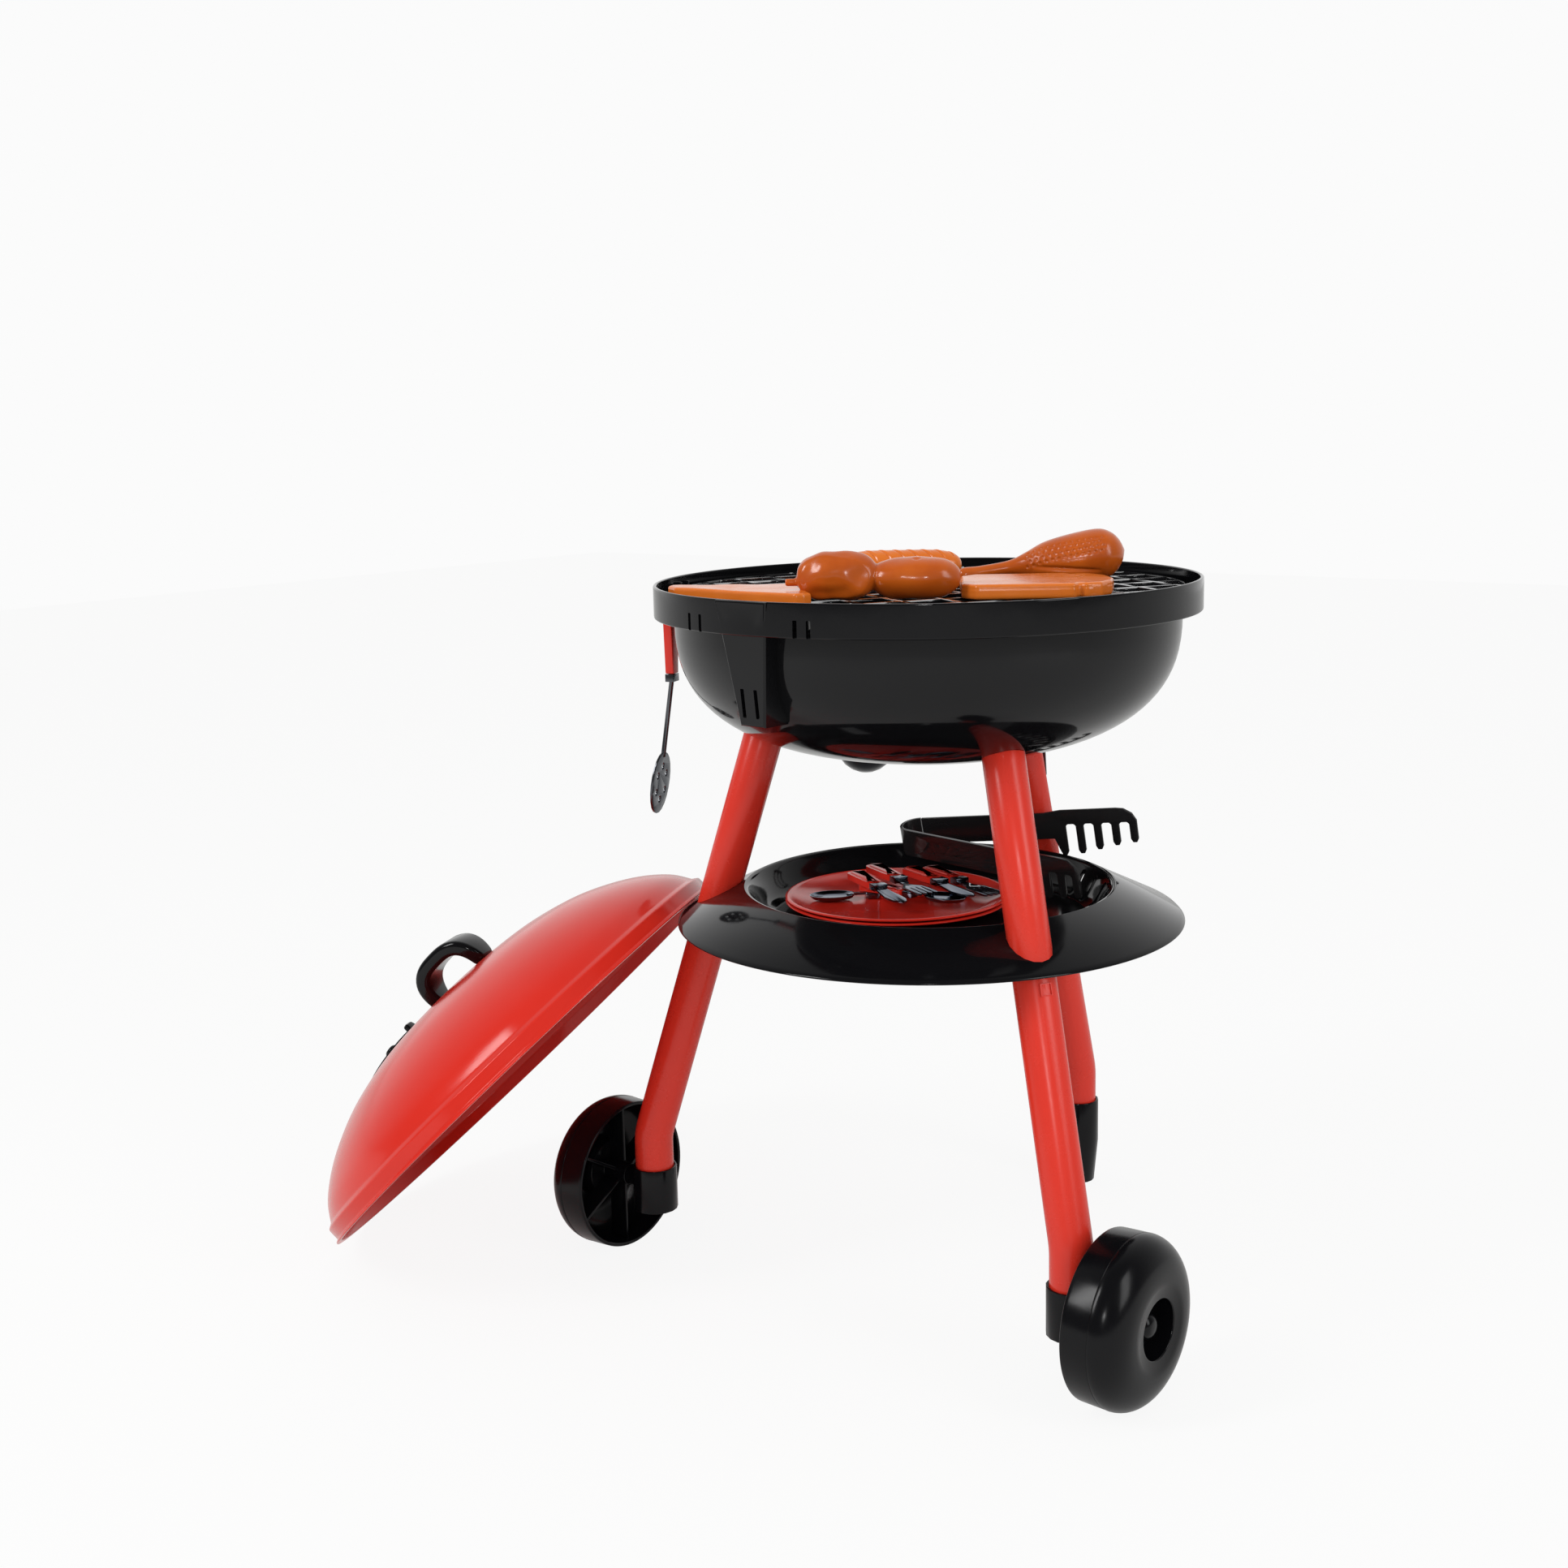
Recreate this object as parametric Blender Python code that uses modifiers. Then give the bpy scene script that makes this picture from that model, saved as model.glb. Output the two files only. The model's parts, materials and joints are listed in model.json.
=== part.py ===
"""Toy barbecue grill: kettle bowl on three legs, shelf, wheels, lid, food and tools.

Metres, +Z up. The pieces are modelled round the grill's own upright axis, with the
foot leg towards +Y and the wheel axles along X. The last step moves them all so that
the origin lies at the bottom centre of the whole object.
"""
import math

import bmesh
import bpy
from mathutils import Matrix, Vector

MM = 0.001

# Clearances and faceting
seat_gap = 0.3 * MM
plug_gap = 0.4 * MM
spin_gap = 0.5 * MM
sleeve_gap = 0.6 * MM
overrun = 20 * MM
merge_gap = 0.02 * MM
big_steps = 38
mid_steps = 24
small_steps = 16
curve_fineness = 2

# Bowl
bowl_radius = 200 * MM
rim_height = 535 * MM
band_height = 23.5 * MM
bowl_depth = 130 * MM
bowl_wall = 2.6 * MM
bowl_step = 14.5 * MM
bowl_round_share = 2.6
bowl_curve_points = 11
panel_azimuth = math.radians(-93)
panel_top_width = 46 * MM
panel_bottom_width = 26 * MM
panel_height = 86 * MM
panel_lean = 9 * MM
panel_root = 34 * MM
slot_width = 3.2 * MM
slot_height = 15 * MM
slot_pitch = 13.5 * MM
slot_edge = 4.5 * MM
band_slot_angle = math.radians(14)
panel_slot_height = 20 * MM
panel_slot_drop = 60 * MM
panel_slot_pitch = 12 * MM

# Legs
leg_azimuths = {"left": math.radians(210), "right": math.radians(330), "foot": math.radians(90)}
leg_radius = 15.1 * MM
leg_wall = 2 * MM
leg_top_share = 0.637
leg_top_spread = bowl_radius * leg_top_share
leg_foot_spread = 219.7 * MM
leg_bend_height = 99 * MM
leg_bend_radius = 45 * MM
leg_bend_points = 7
leg_top_drop = 130 * MM
spigot_length = 28 * MM
boss_length = 24 * MM

# Shelf
shelf_radius = 190 * MM
shelf_drop = 252.5 * MM
shelf_edge_height = rim_height - shelf_drop
crest_radius = 139.5 * MM
crest_rise = 24 * MM
crest_height = shelf_edge_height + crest_rise
shelf_wall = 2.6 * MM
shelf_lip = 2.4 * MM
shelf_floor_radius = 118 * MM
shelf_well_depth = 24.5 * MM
shelf_floor_height = crest_height - shelf_well_depth
vent_count = 18
vent_width = 4 * MM
vent_length = 24 * MM

# Wheels and their axle caps
wheel_radius = 59.5 * MM
wheel_width = 42 * MM
wheel_wall = 2.8 * MM
wheel_offset = 25.5 * MM
wheel_shoulder_share = 0.5
wheel_eye_radius = 16.5 * MM
wheel_eye_depth = 17 * MM
wheel_face_radius = 32 * MM
wheel_hub_radius = 9 * MM
wheel_rib_count = 6
wheel_rib_thickness = 2.2 * MM
wheel_rib_setback = 7 * MM
axle_radius = 4.2 * MM
axle_height = wheel_radius
collar_radius = 8 * MM
cap_wall = 1.7 * MM
axle_cap_height = 35 * MM
axle_cap_bottom = 38 * MM
axle_cap_floor = 3.5 * MM
foot_cap_height = 72 * MM
foot_cap_floor = 6 * MM
foot_cap_bottom_radius = 14 * MM
hub_cap_radius = 10 * MM
hub_cap_height = 12 * MM

# Lid
lid_overhang = 4.5 * MM
lid_radius = bowl_radius + lid_overhang
lid_wall = 2.4 * MM
lid_lip = 2.6 * MM
lid_skirt_height = 12.5 * MM
lid_tilt = math.radians(44.55)
lid_azimuth = math.radians(204.3)
lid_axis_reach = 329.6 * MM
# Dome outline as shares of the lid's radius and of its height
lid_height = 84 * MM
lid_radius_shares = (0.965, 0.925, 0.865, 0.79, 0.70, 0.61, 0.51, 0.41, 0.30, 0.21, 0.10)
lid_height_shares = (0.185, 0.335, 0.475, 0.605, 0.725, 0.820, 0.895, 0.95, 0.985, 1.0, 0.992)
handle_span = 67 * MM
handle_rise = 34 * MM
handle_thickness = 9 * MM
handle_shift = 8 * MM
handle_foot_share = 0.6
handle_round_share = 0.62
scoop_length = 44 * MM
scoop_width = 42 * MM
scoop_depth = 9 * MM
handle_width = 28 * MM
handle_points = 10
vent_disc_reach = 84 * MM
vent_disc_radius = 34 * MM
vent_disc_thickness = 1.8 * MM
vent_hole_radius = 5.5 * MM
vent_hole_reach = 19 * MM
vent_hole_count = 4
vent_tab_size = 12 * MM
vent_tab_height = 7 * MM
pivot_radius = 2.4 * MM

# Grate
grate_margin = 11 * MM
grate_radius = bowl_radius - grate_margin
grate_top_drop = 6.5 * MM
grate_bar = 4.5 * MM
grate_bar_height = 3.6 * MM
grate_skirt = 2.6 * MM
grate_pitch = 31 * MM
grate_turn = math.radians(-30)

# Camera-side compass of the food on the grate: right and away from the front
food_right = math.radians(34.9)
slab_length = 104 * MM
slab_width = 84 * MM
slab_thickness = 8.5 * MM
slab_place = (-131 * MM, -84 * MM)
steak_length = 106 * MM
steak_width = 88 * MM
steak_thickness = 10.5 * MM
steak_end_steps = 6
steak_place = (77 * MM, -74 * MM)
kebab_place = (-31 * MM, -106 * MM)
kebab_first_radius = 14.3 * MM
kebab_second_radius = 11.8 * MM
kebab_first_length = 50 * MM
kebab_second_length = 56 * MM
kebab_stick_radius = 2.6 * MM
kebab_stick_end = 12 * MM
sausage_place = (-19 * MM, 36 * MM)
sausage_length = 92 * MM
sausage_radius = 12.2 * MM
drum_length = 125 * MM
drum_radius = 18.6 * MM
drum_place = (22 * MM, 10 * MM)
drum_turn = math.radians(2)

# Plates, in the shelf's floor
plate_radius = 86 * MM
plate_foot_radius = 70 * MM
plate_wall = 2 * MM
plate_rise = 6 * MM
plate_pitch = 3.2 * MM
plate_centre = (-33.7 * MM, 5.4 * MM)

# Cutlery
cutlery_length = 96 * MM
cutlery_handle_length = 42 * MM
cutlery_width = 14 * MM
cutlery_thickness = 4.6 * MM
collar_length = 9 * MM
blade_thickness = 1.6 * MM
blade_width = 17 * MM
spoon_length = 36 * MM
spoon_width = 25 * MM
spoon_depth = 4.6 * MM
tine_count = 4
tine_length = 22 * MM
tine_gap_share = 0.45

# Tongs
tongs_strap = 22.3 * MM
tongs_wall = 2.4 * MM
tongs_bow_radius = 14 * MM
tongs_reach = 173 * MM
tongs_finger_pitch = 14.3 * MM
tongs_finger_width = 6.4 * MM
tongs_finger_drop = 5.5 * MM
tongs_gap_root = 12 * MM
tongs_finger_grades = (0, 2 * MM, 5 * MM, 8 * MM, 9 * MM)
tongs_comb_rise = 2 * MM
tongs_half_angle = math.radians(13.5)
tongs_place = (-75 * MM, 97 * MM)
tongs_lift = 22.2 * MM
tongs_heading = math.radians(4.7)
tongs_climb = math.radians(2.33)
tongs_lean = math.radians(12.44)
tongs_squeeze_gap = 0.6 * MM

# Hanging tools
tool_azimuths = {"spatula": math.radians(197), "ladle": math.radians(138), "turner": math.radians(103)}
tool_standoff = 8 * MM
tool_reach = bowl_radius + tool_standoff
tool_top_drop = 8 * MM
tool_handle_length = 68 * MM
tool_handle_width = 15 * MM
tool_handle_thickness = 7 * MM
tool_collar_length = 6 * MM
tool_shank_radius = 2 * MM
tool_shank_lengths = {"spatula": 64 * MM, "ladle": 84 * MM, "turner": 64 * MM}
tool_crank = math.radians(9)
tool_head_length = 50 * MM
tool_head_width = 32 * MM
tool_head_thickness = 1.8 * MM
blade_hole_count = 6
blade_hole_share = 0.27
blade_hole_radius = 2.2 * MM
ladle_radius = 26 * MM
ladle_wall = 1.8 * MM
hook_peg_radius = 2.4 * MM
hook_peg_length = 16 * MM
hook_plate_thickness = 2.2 * MM
hook_plate_height = 19 * MM
hook_plate_width = 22 * MM

TAU = math.tau
HALF = 0.5
Z_AXIS = Vector((0, 0, 1))


def clear_scene():
    for obj in list(bpy.data.objects):
        bpy.data.objects.remove(obj, do_unlink=True)


def make_collection(name):
    group = bpy.data.collections.new(name)
    bpy.context.scene.collection.children.link(group)
    return group


clear_scene()
parts = make_collection("toy_barbecue_grill")
cutters = make_collection("cutters")


def make_material(name, colour, roughness, metallic=0.0):
    made = bpy.data.materials.new(name)
    made.use_nodes = True
    shader = made.node_tree.nodes["Principled BSDF"]
    shader.inputs["Base Color"].default_value = (*colour, 1)
    shader.inputs["Roughness"].default_value = roughness
    shader.inputs["Metallic"].default_value = metallic
    made.diffuse_color = (*colour, 1)
    return made


black_gloss = make_material("black_gloss", (0.012, 0.012, 0.014), 0.18)
black_satin = make_material("black_satin", (0.016, 0.016, 0.017), 0.38)
red_gloss = make_material("red_gloss", (0.70, 0.035, 0.025), 0.2)
red_tube = make_material("red_tube", (0.70, 0.04, 0.03), 0.3)
grate_grey = make_material("grate_grey", (0.05, 0.05, 0.055), 0.25)
food_orange = make_material("food_orange", (0.62, 0.17, 0.03), 0.32)
steel_look = make_material("steel_look", (0.16, 0.17, 0.19), 0.25, 0.6)


def link_object(name, mesh, paint=None, group=None):
    obj = bpy.data.objects.new(name, mesh)
    (group or parts).objects.link(obj)
    if paint:
        mesh.materials.clear()
        mesh.materials.append(paint)
    if group is cutters:
        obj.hide_render = True
        obj.display_type = "WIRE"
    return obj


def freeze(obj):
    """Replaces the object's mesh by its evaluated one and drops the modifiers."""
    graph = bpy.context.evaluated_depsgraph_get()
    graph.update()
    solid = bpy.data.meshes.new_from_object(obj.evaluated_get(graph))
    mesh = bmesh.new()
    mesh.from_mesh(solid)
    bmesh.ops.remove_doubles(mesh, verts=mesh.verts, dist=merge_gap)
    mesh.to_mesh(solid)
    mesh.free()
    paints = list(obj.data.materials)
    if obj.type == "CURVE":
        made = bpy.data.objects.new(obj.name, solid)
        made.matrix_world = obj.matrix_world
        for group in obj.users_collection:
            group.objects.link(made)
        name = obj.name
        bpy.data.objects.remove(obj, do_unlink=True)
        made.name = name
        obj = made
    else:
        obj.modifiers.clear()
        obj.data = solid
    solid.materials.clear()
    for paint in paints:
        solid.materials.append(paint)
    return obj


def turned(name, outline, steps, paint=None, group=None, closed=False):
    """A turned solid. The outline runs down the outer side, from top to bottom."""
    mesh = bpy.data.meshes.new(name)
    corners = [(r, 0, z) for r, z in outline]
    edges = [(i, i + 1) for i in range(len(corners) - 1)]
    if closed:
        edges.append((len(corners) - 1, 0))
    mesh.from_pydata(corners, edges, [])
    obj = link_object(name, mesh, paint, group)
    turn = obj.modifiers.new("turn", "SCREW")
    turn.angle = TAU
    turn.steps = turn.render_steps = steps
    turn.use_merge_vertices = True
    turn.merge_threshold = merge_gap
    return freeze(obj)


def block(name, size, centre=(0, 0, 0), top_share=(1, 1), paint=None, group=None):
    """A box; its top can be narrower than its bottom."""
    mesh = bpy.data.meshes.new(name)
    cage = bmesh.new()
    bmesh.ops.create_cube(cage, size=1)
    for corner in cage.verts:
        wide = top_share if corner.co.z > 0 else (1, 1)
        corner.co.x *= size[0] * wide[0]
        corner.co.y *= size[1] * wide[1]
        corner.co.z *= size[2]
        corner.co += Vector(centre)
    cage.to_mesh(mesh)
    cage.free()
    return link_object(name, mesh, paint, group)


def rod(name, radius, length, steps=small_steps, top_radius=None, paint=None, group=None):
    """A cylinder or cone that stands on the XY plane."""
    mesh = bpy.data.meshes.new(name)
    cage = bmesh.new()
    bmesh.ops.create_cone(cage, cap_ends=True, segments=steps, radius1=radius,
                          radius2=radius if top_radius is None else top_radius, depth=length)
    bmesh.ops.translate(cage, verts=cage.verts, vec=(0, 0, length * HALF))
    cage.to_mesh(mesh)
    cage.free()
    return link_object(name, mesh, paint, group)


def ball(name, radii, steps=small_steps, paint=None, group=None):
    mesh = bpy.data.meshes.new(name)
    cage = bmesh.new()
    bmesh.ops.create_uvsphere(cage, u_segments=steps, v_segments=steps // 2, radius=1)
    bmesh.ops.scale(cage, verts=cage.verts, vec=radii)
    cage.to_mesh(mesh)
    cage.free()
    return link_object(name, mesh, paint, group)


def flat_outline(name, loops, thickness, paint=None, group=None):
    """A flat outline, with any holes as further loops, given a thickness about z = 0."""
    curve = bpy.data.curves.new(name, "CURVE")
    curve.dimensions = "2D"
    curve.fill_mode = "BOTH"
    curve.extrude = thickness * HALF
    for loop in loops:
        spline = curve.splines.new("POLY")
        spline.points.add(len(loop) - 1)
        for point, (x, y) in zip(spline.points, loop):
            point.co = (x, y, 0, 1)
        spline.use_cyclic_u = True
    if paint:
        curve.materials.append(paint)
    return freeze(link_object_curve(name, curve, group))


def link_object_curve(name, curve, group=None):
    obj = bpy.data.objects.new(name, curve)
    (group or parts).objects.link(obj)
    return obj


def tube_along(name, points, radius, paint=None, group=None):
    curve = bpy.data.curves.new(name, "CURVE")
    curve.dimensions = "3D"
    curve.bevel_depth = radius
    curve.bevel_resolution = curve_fineness
    curve.use_fill_caps = True
    spline = curve.splines.new("POLY")
    spline.points.add(len(points) - 1)
    for point, place in zip(spline.points, points):
        point.co = (*place, 1)
    if paint:
        curve.materials.append(paint)
    return freeze(link_object_curve(name, curve, group))


def place(obj, matrix):
    """Moves the mesh itself; the object stays where its origin is."""
    obj.data.transform(matrix)
    if matrix.is_negative:
        obj.data.flip_normals()
    obj.data.update()
    return obj


def boolean(obj, other, how):
    step = obj.modifiers.new(how.lower(), "BOOLEAN")
    step.operation = how
    step.solver = "EXACT"
    step.object = other
    freeze(obj)
    bpy.data.objects.remove(other, do_unlink=True)
    return obj


def cut(obj, other):
    return boolean(obj, other, "DIFFERENCE")


def fuse(obj, other):
    return boolean(obj, other, "UNION")


def smooth(obj, angle=math.radians(35)):
    obj.data.shade_smooth()
    obj.data.set_sharp_from_angle(angle=angle)
    return obj


def bevel(obj, width, segments=2, angle=math.radians(40)):
    edge = obj.modifiers.new("edges", "BEVEL")
    edge.width = width
    edge.segments = segments
    edge.limit_method = "ANGLE"
    edge.angle_limit = angle
    return freeze(obj)


def own_origin(obj, origin):
    """Puts the object's origin on its joint's axis, with the mesh staying put."""
    obj.data.transform(Matrix.Translation(-Vector(origin)))
    obj.location = Vector(origin)
    return obj


def frame_at(origin, x_way, z_way):
    """A frame from an origin, a rough x direction and an exact z direction."""
    z_dir = Vector(z_way).normalized()
    y_dir = z_dir.cross(Vector(x_way)).normalized()
    x_dir = y_dir.cross(z_dir)
    made = Matrix((x_dir, y_dir, z_dir)).transposed().to_4x4()
    made.translation = Vector(origin)
    return made


def polar(radius, azimuth, height):
    return Vector((radius * math.cos(azimuth), radius * math.sin(azimuth), height))


def oval(radius_x, radius_y, count, centre=(0, 0)):
    return [(centre[0] + radius_x * math.cos(TAU * i / count),
             centre[1] + radius_y * math.sin(TAU * i / count)) for i in range(count)]


def rounded_box(length, width, corner, corner_points=4):
    """Outline of a rectangle with round corners, centred on the origin."""
    points = []
    for quarter in range(4):
        side_x = 1 if quarter in (0, 3) else -1
        side_y = 1 if quarter in (0, 1) else -1
        for i in range(corner_points):
            turn = (quarter + i / (corner_points - 1)) * TAU / 4
            points.append((side_x * (length * HALF - corner) + corner * math.cos(turn),
                           side_y * (width * HALF - corner) + corner * math.sin(turn)))
    return points


# Places that several pieces share

bowl_bottom = rim_height - bowl_depth
band_bottom = rim_height - band_height
wall_top_radius = bowl_radius - bowl_step
ledge_height = band_bottom + bowl_wall
leg_top_height = rim_height - leg_top_drop
flange_slope = (crest_height - shelf_edge_height) / (shelf_radius - crest_radius)


def bowl_curve(inset):
    """The bowl's round side from the band down to the axis, moved in by inset."""
    top = wall_top_radius - inset
    deep = bowl_depth - band_height - inset
    turns = [i * TAU / 4 / bowl_curve_points for i in range(bowl_curve_points + 1)]
    power = 2 / bowl_round_share
    curve = [(top * math.cos(t) ** power, band_bottom - deep * math.sin(t) ** power) for t in turns]
    curve[-1] = (0, band_bottom - deep)
    return curve


def leg_point(which, height):
    share = (leg_top_height - height) / (leg_top_height - leg_bend_height)
    spread = leg_top_spread + (leg_foot_spread - leg_top_spread) * share
    return polar(spread, leg_azimuths[which], height)


def leg_way(which):
    return (leg_point(which, leg_top_height) - leg_point(which, leg_bend_height)).normalized()


def make_bowl():
    inner = bowl_curve(bowl_wall)
    outline = list(reversed(inner))
    outline += [(wall_top_radius - bowl_wall, ledge_height), (bowl_radius - bowl_wall, ledge_height)]
    outline += [(bowl_radius - bowl_wall, rim_height), (bowl_radius, rim_height), (bowl_radius, band_bottom)]
    outline += bowl_curve(0)
    bowl = turned("bowl", outline, big_steps, black_gloss)
    add_panel(bowl)
    cut_slots(bowl)
    add_bosses(bowl)
    return smooth(bowl)


def panel_block(name, inset):
    """The raised panel: flush with the band at its top, leaning in and narrowing down."""
    top_y = bowl_radius - inset
    low_y = bowl_radius - panel_lean - inset
    back_y = bowl_radius - panel_root
    half_top = panel_top_width * HALF - inset
    half_low = panel_bottom_width * HALF - inset
    reach = overrun if inset else -seat_gap
    low_z = rim_height - panel_height + inset
    mesh = bpy.data.meshes.new(name)
    cage = bmesh.new()
    bmesh.ops.create_cube(cage, size=1)
    for corner in cage.verts:
        high = corner.co.z > 0
        front = corner.co.y > 0
        half = half_top if high else half_low
        front_y = top_y if high else low_y
        corner.co = Vector((math.copysign(half, corner.co.x),
                            front_y if front else back_y,
                            rim_height + reach if high else low_z))
    cage.to_mesh(mesh)
    cage.free()
    made = link_object(name, mesh, None, cutters)
    return place(made, Matrix.Rotation(panel_azimuth - TAU / 4, 4, "Z"))


def bowl_inside():
    """Everything inside the middle of the bowl's wall."""
    side = bowl_wall * HALF
    outline = [(0, rim_height + overrun), (bowl_radius - side, rim_height + overrun),
               (bowl_radius - side, band_bottom + side), (wall_top_radius - side, band_bottom + side)]
    return turned("bowl_inside", outline + bowl_curve(side), big_steps, group=cutters)


def add_panel(bowl):
    outside = panel_block("panel_outside", 0)
    cut(outside, bowl_inside())
    fuse(bowl, outside)
    cut(bowl, panel_block("panel_inside", bowl_wall))


def slot_block(azimuth, height, shift, tall):
    """One slot cutter through the band, its middle shifted along the tangent."""
    made = block("slot", (overrun, slot_width, tall), (bowl_radius, shift, height), group=cutters)
    return place(made, Matrix.Rotation(azimuth, 4, "Z"))


def cut_slots(bowl):
    middle = rim_height - band_height + slot_height * HALF + slot_edge
    pairs = [panel_azimuth - band_slot_angle, panel_azimuth + band_slot_angle]
    pairs += list(tool_azimuths.values())
    for azimuth in pairs:
        for side in (-HALF, HALF):
            cut(bowl, slot_block(azimuth, middle, side * slot_pitch, slot_height))
    low_middle = rim_height - panel_slot_drop - panel_slot_height * HALF
    for side in (-HALF, HALF):
        cut(bowl, slot_block(panel_azimuth, low_middle, side * panel_slot_pitch, panel_slot_height))


def add_bosses(bowl):
    """Plugs under the bowl that sit inside the upper leg tubes."""
    for which in leg_azimuths:
        boss = rod("boss", leg_radius - leg_wall - plug_gap, boss_length + overrun, group=cutters)
        start = leg_point(which, leg_top_height) - leg_way(which) * boss_length
        place(boss, frame_at(start, polar(1, leg_azimuths[which], 0), leg_way(which)))
        cut(boss, bowl_inside())
        fuse(bowl, boss)


def flange_height(radius, lift):
    return crest_height - (radius - crest_radius) * flange_slope + lift


def shelf_outline():
    """The shelf's upper side from the flange's edge to the floor, then back below."""
    edge_drop = shelf_lip
    wall_run = crest_radius - shelf_floor_radius
    fall = crest_height - shelf_floor_height
    inner = [(0, shelf_floor_height), (shelf_floor_radius, shelf_floor_height)]
    inner += [(shelf_floor_radius + wall_run * share, shelf_floor_height + fall * height)
              for share, height in ((0.35, 0.22), (0.68, 0.72), (0.86, 0.95))]
    inner += [(crest_radius, crest_height)]
    flange = [(shelf_radius - shelf_wall, flange_height(shelf_radius - shelf_wall, 0)),
              (shelf_radius, shelf_edge_height - shelf_wall * HALF),
              (shelf_radius, shelf_edge_height - edge_drop),
              (shelf_radius - shelf_wall, shelf_edge_height - edge_drop)]
    under = [(shelf_radius - shelf_wall, flange_height(shelf_radius - shelf_wall, -shelf_wall)),
             (crest_radius, crest_height - shelf_wall)]
    under += [(shelf_floor_radius + wall_run * share, shelf_floor_height + fall * height - shelf_wall)
              for share, height in ((0.86, 0.90), (0.68, 0.60), (0.42, 0.12))]
    under += [(shelf_floor_radius, shelf_floor_height - shelf_wall), (0, shelf_floor_height - shelf_wall)]
    return inner + flange + under


def make_shelf():
    shelf = turned("shelf", shelf_outline(), big_steps, black_gloss)
    middle = (crest_radius + shelf_floor_radius) * HALF
    for i in range(vent_count):
        turn = TAU * (i + HALF) / vent_count
        slot = block("vent", (vent_length * HALF, vent_width, overrun * 2),
                     (middle - vent_length * 0.05, 0, shelf_floor_height), group=cutters)
        cut(shelf, place(slot, Matrix.Rotation(turn, 4, "Z")))
    for which in leg_azimuths:
        hole = rod("leg_hole", leg_radius - leg_wall, overrun * 3, group=cutters)
        start = leg_point(which, shelf_edge_height) - leg_way(which) * overrun
        cut(shelf, place(hole, frame_at(start, polar(1, leg_azimuths[which], 0), leg_way(which))))
    return smooth(shelf)


def below_flange():
    """Everything from the flange's upper side down: it ends the upper legs."""
    near = crest_radius - overrun
    far = shelf_radius + overrun
    low = shelf_floor_height - overrun * 3
    ring = [(far, flange_height(far, seat_gap)), (far, low), (near, low), (near, flange_height(near, seat_gap))]
    return turned("below_flange", ring, big_steps, group=cutters, closed=True)


def above_flange():
    """Everything from the flange's underside up: it ends the lower legs' shoulders."""
    near = crest_radius - overrun
    far = shelf_radius + overrun
    drop = -shelf_wall - seat_gap
    return turned("above_flange", [(far, crest_height + overrun * 2), (far, flange_height(far, drop)),
                                   (near, flange_height(near, drop)), (near, crest_height + overrun * 2)],
                  big_steps, group=cutters, closed=True)


def bowl_block():
    """The bowl filled and grown by the seat gap: it ends the upper legs' tops."""
    outline = [(0, rim_height + overrun), (bowl_radius, rim_height + overrun), (bowl_radius, band_bottom)]
    return turned("bowl_block", outline + bowl_curve(-seat_gap), big_steps, group=cutters)


def make_upper_leg(which):
    reach = overrun * 2
    start = leg_point(which, shelf_edge_height) - leg_way(which) * reach
    length = (leg_point(which, leg_top_height) - start).length + reach
    bore = leg_radius - leg_wall
    ring = [(leg_radius, length), (leg_radius, 0), (bore, 0), (bore, length)]
    leg = turned("upper_leg_" + which, ring, small_steps, red_tube, closed=True)
    place(leg, frame_at(start, polar(1, leg_azimuths[which], 0), leg_way(which)))
    cut(leg, below_flange())
    cut(leg, bowl_block())
    return smooth(leg)


def leg_route(which, low_end):
    """Centre line of a lower leg: straight, then an arc, then upright into its cap."""
    way = leg_way(which)
    lean = math.acos(way.z)
    out = polar(1, leg_azimuths[which], 0)
    run = leg_bend_radius * math.tan(lean * HALF)
    corner = leg_point(which, leg_bend_height)
    centre = corner - Z_AXIS * run - out * leg_bend_radius
    route = [leg_point(which, shelf_edge_height + overrun)]
    for i in range(leg_bend_points):
        turn = lean * (1 - i / (leg_bend_points - 1))
        arm = out * leg_bend_radius * math.cos(turn)
        route.append(centre + arm + Z_AXIS * leg_bend_radius * math.sin(turn))
    route.append(Vector((corner.x, corner.y, low_end)))
    return route


def make_lower_leg(which, low_end):
    leg = tube_along("lower_leg_" + which, leg_route(which, low_end), leg_radius, red_tube)
    cut(leg, above_flange())
    way = leg_way(which)
    start = leg_point(which, shelf_edge_height) - way * spigot_length
    length = (leg_point(which, crest_height) - start).length + spigot_length
    spigot = rod("spigot", leg_radius - leg_wall - plug_gap, length, group=cutters)
    fuse(leg, place(spigot, frame_at(start, polar(1, leg_azimuths[which], 0), way)))
    return smooth(leg)


def sleeve(name, height, bottom, floor, bottom_radius):
    """A cap over a leg's end: a cup with a thick floor and a slightly tapered side."""
    top = leg_radius + cap_wall + sleeve_gap
    bore = leg_radius + sleeve_gap
    outline = [(0, floor), (bore, floor), (bore, height), (top, height), (bottom_radius, 0), (0, 0)]
    if bottom_radius < bore:
        bore_low = bottom_radius - cap_wall
        outline = [(0, floor), (bore_low, floor), (bore, height * HALF), (bore, height), (top, height),
                   (top, height * HALF), (bottom_radius, 0), (0, 0)]
    cap = turned(name, outline, small_steps, black_satin)
    return place(cap, Matrix.Translation((0, 0, bottom)))


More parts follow.
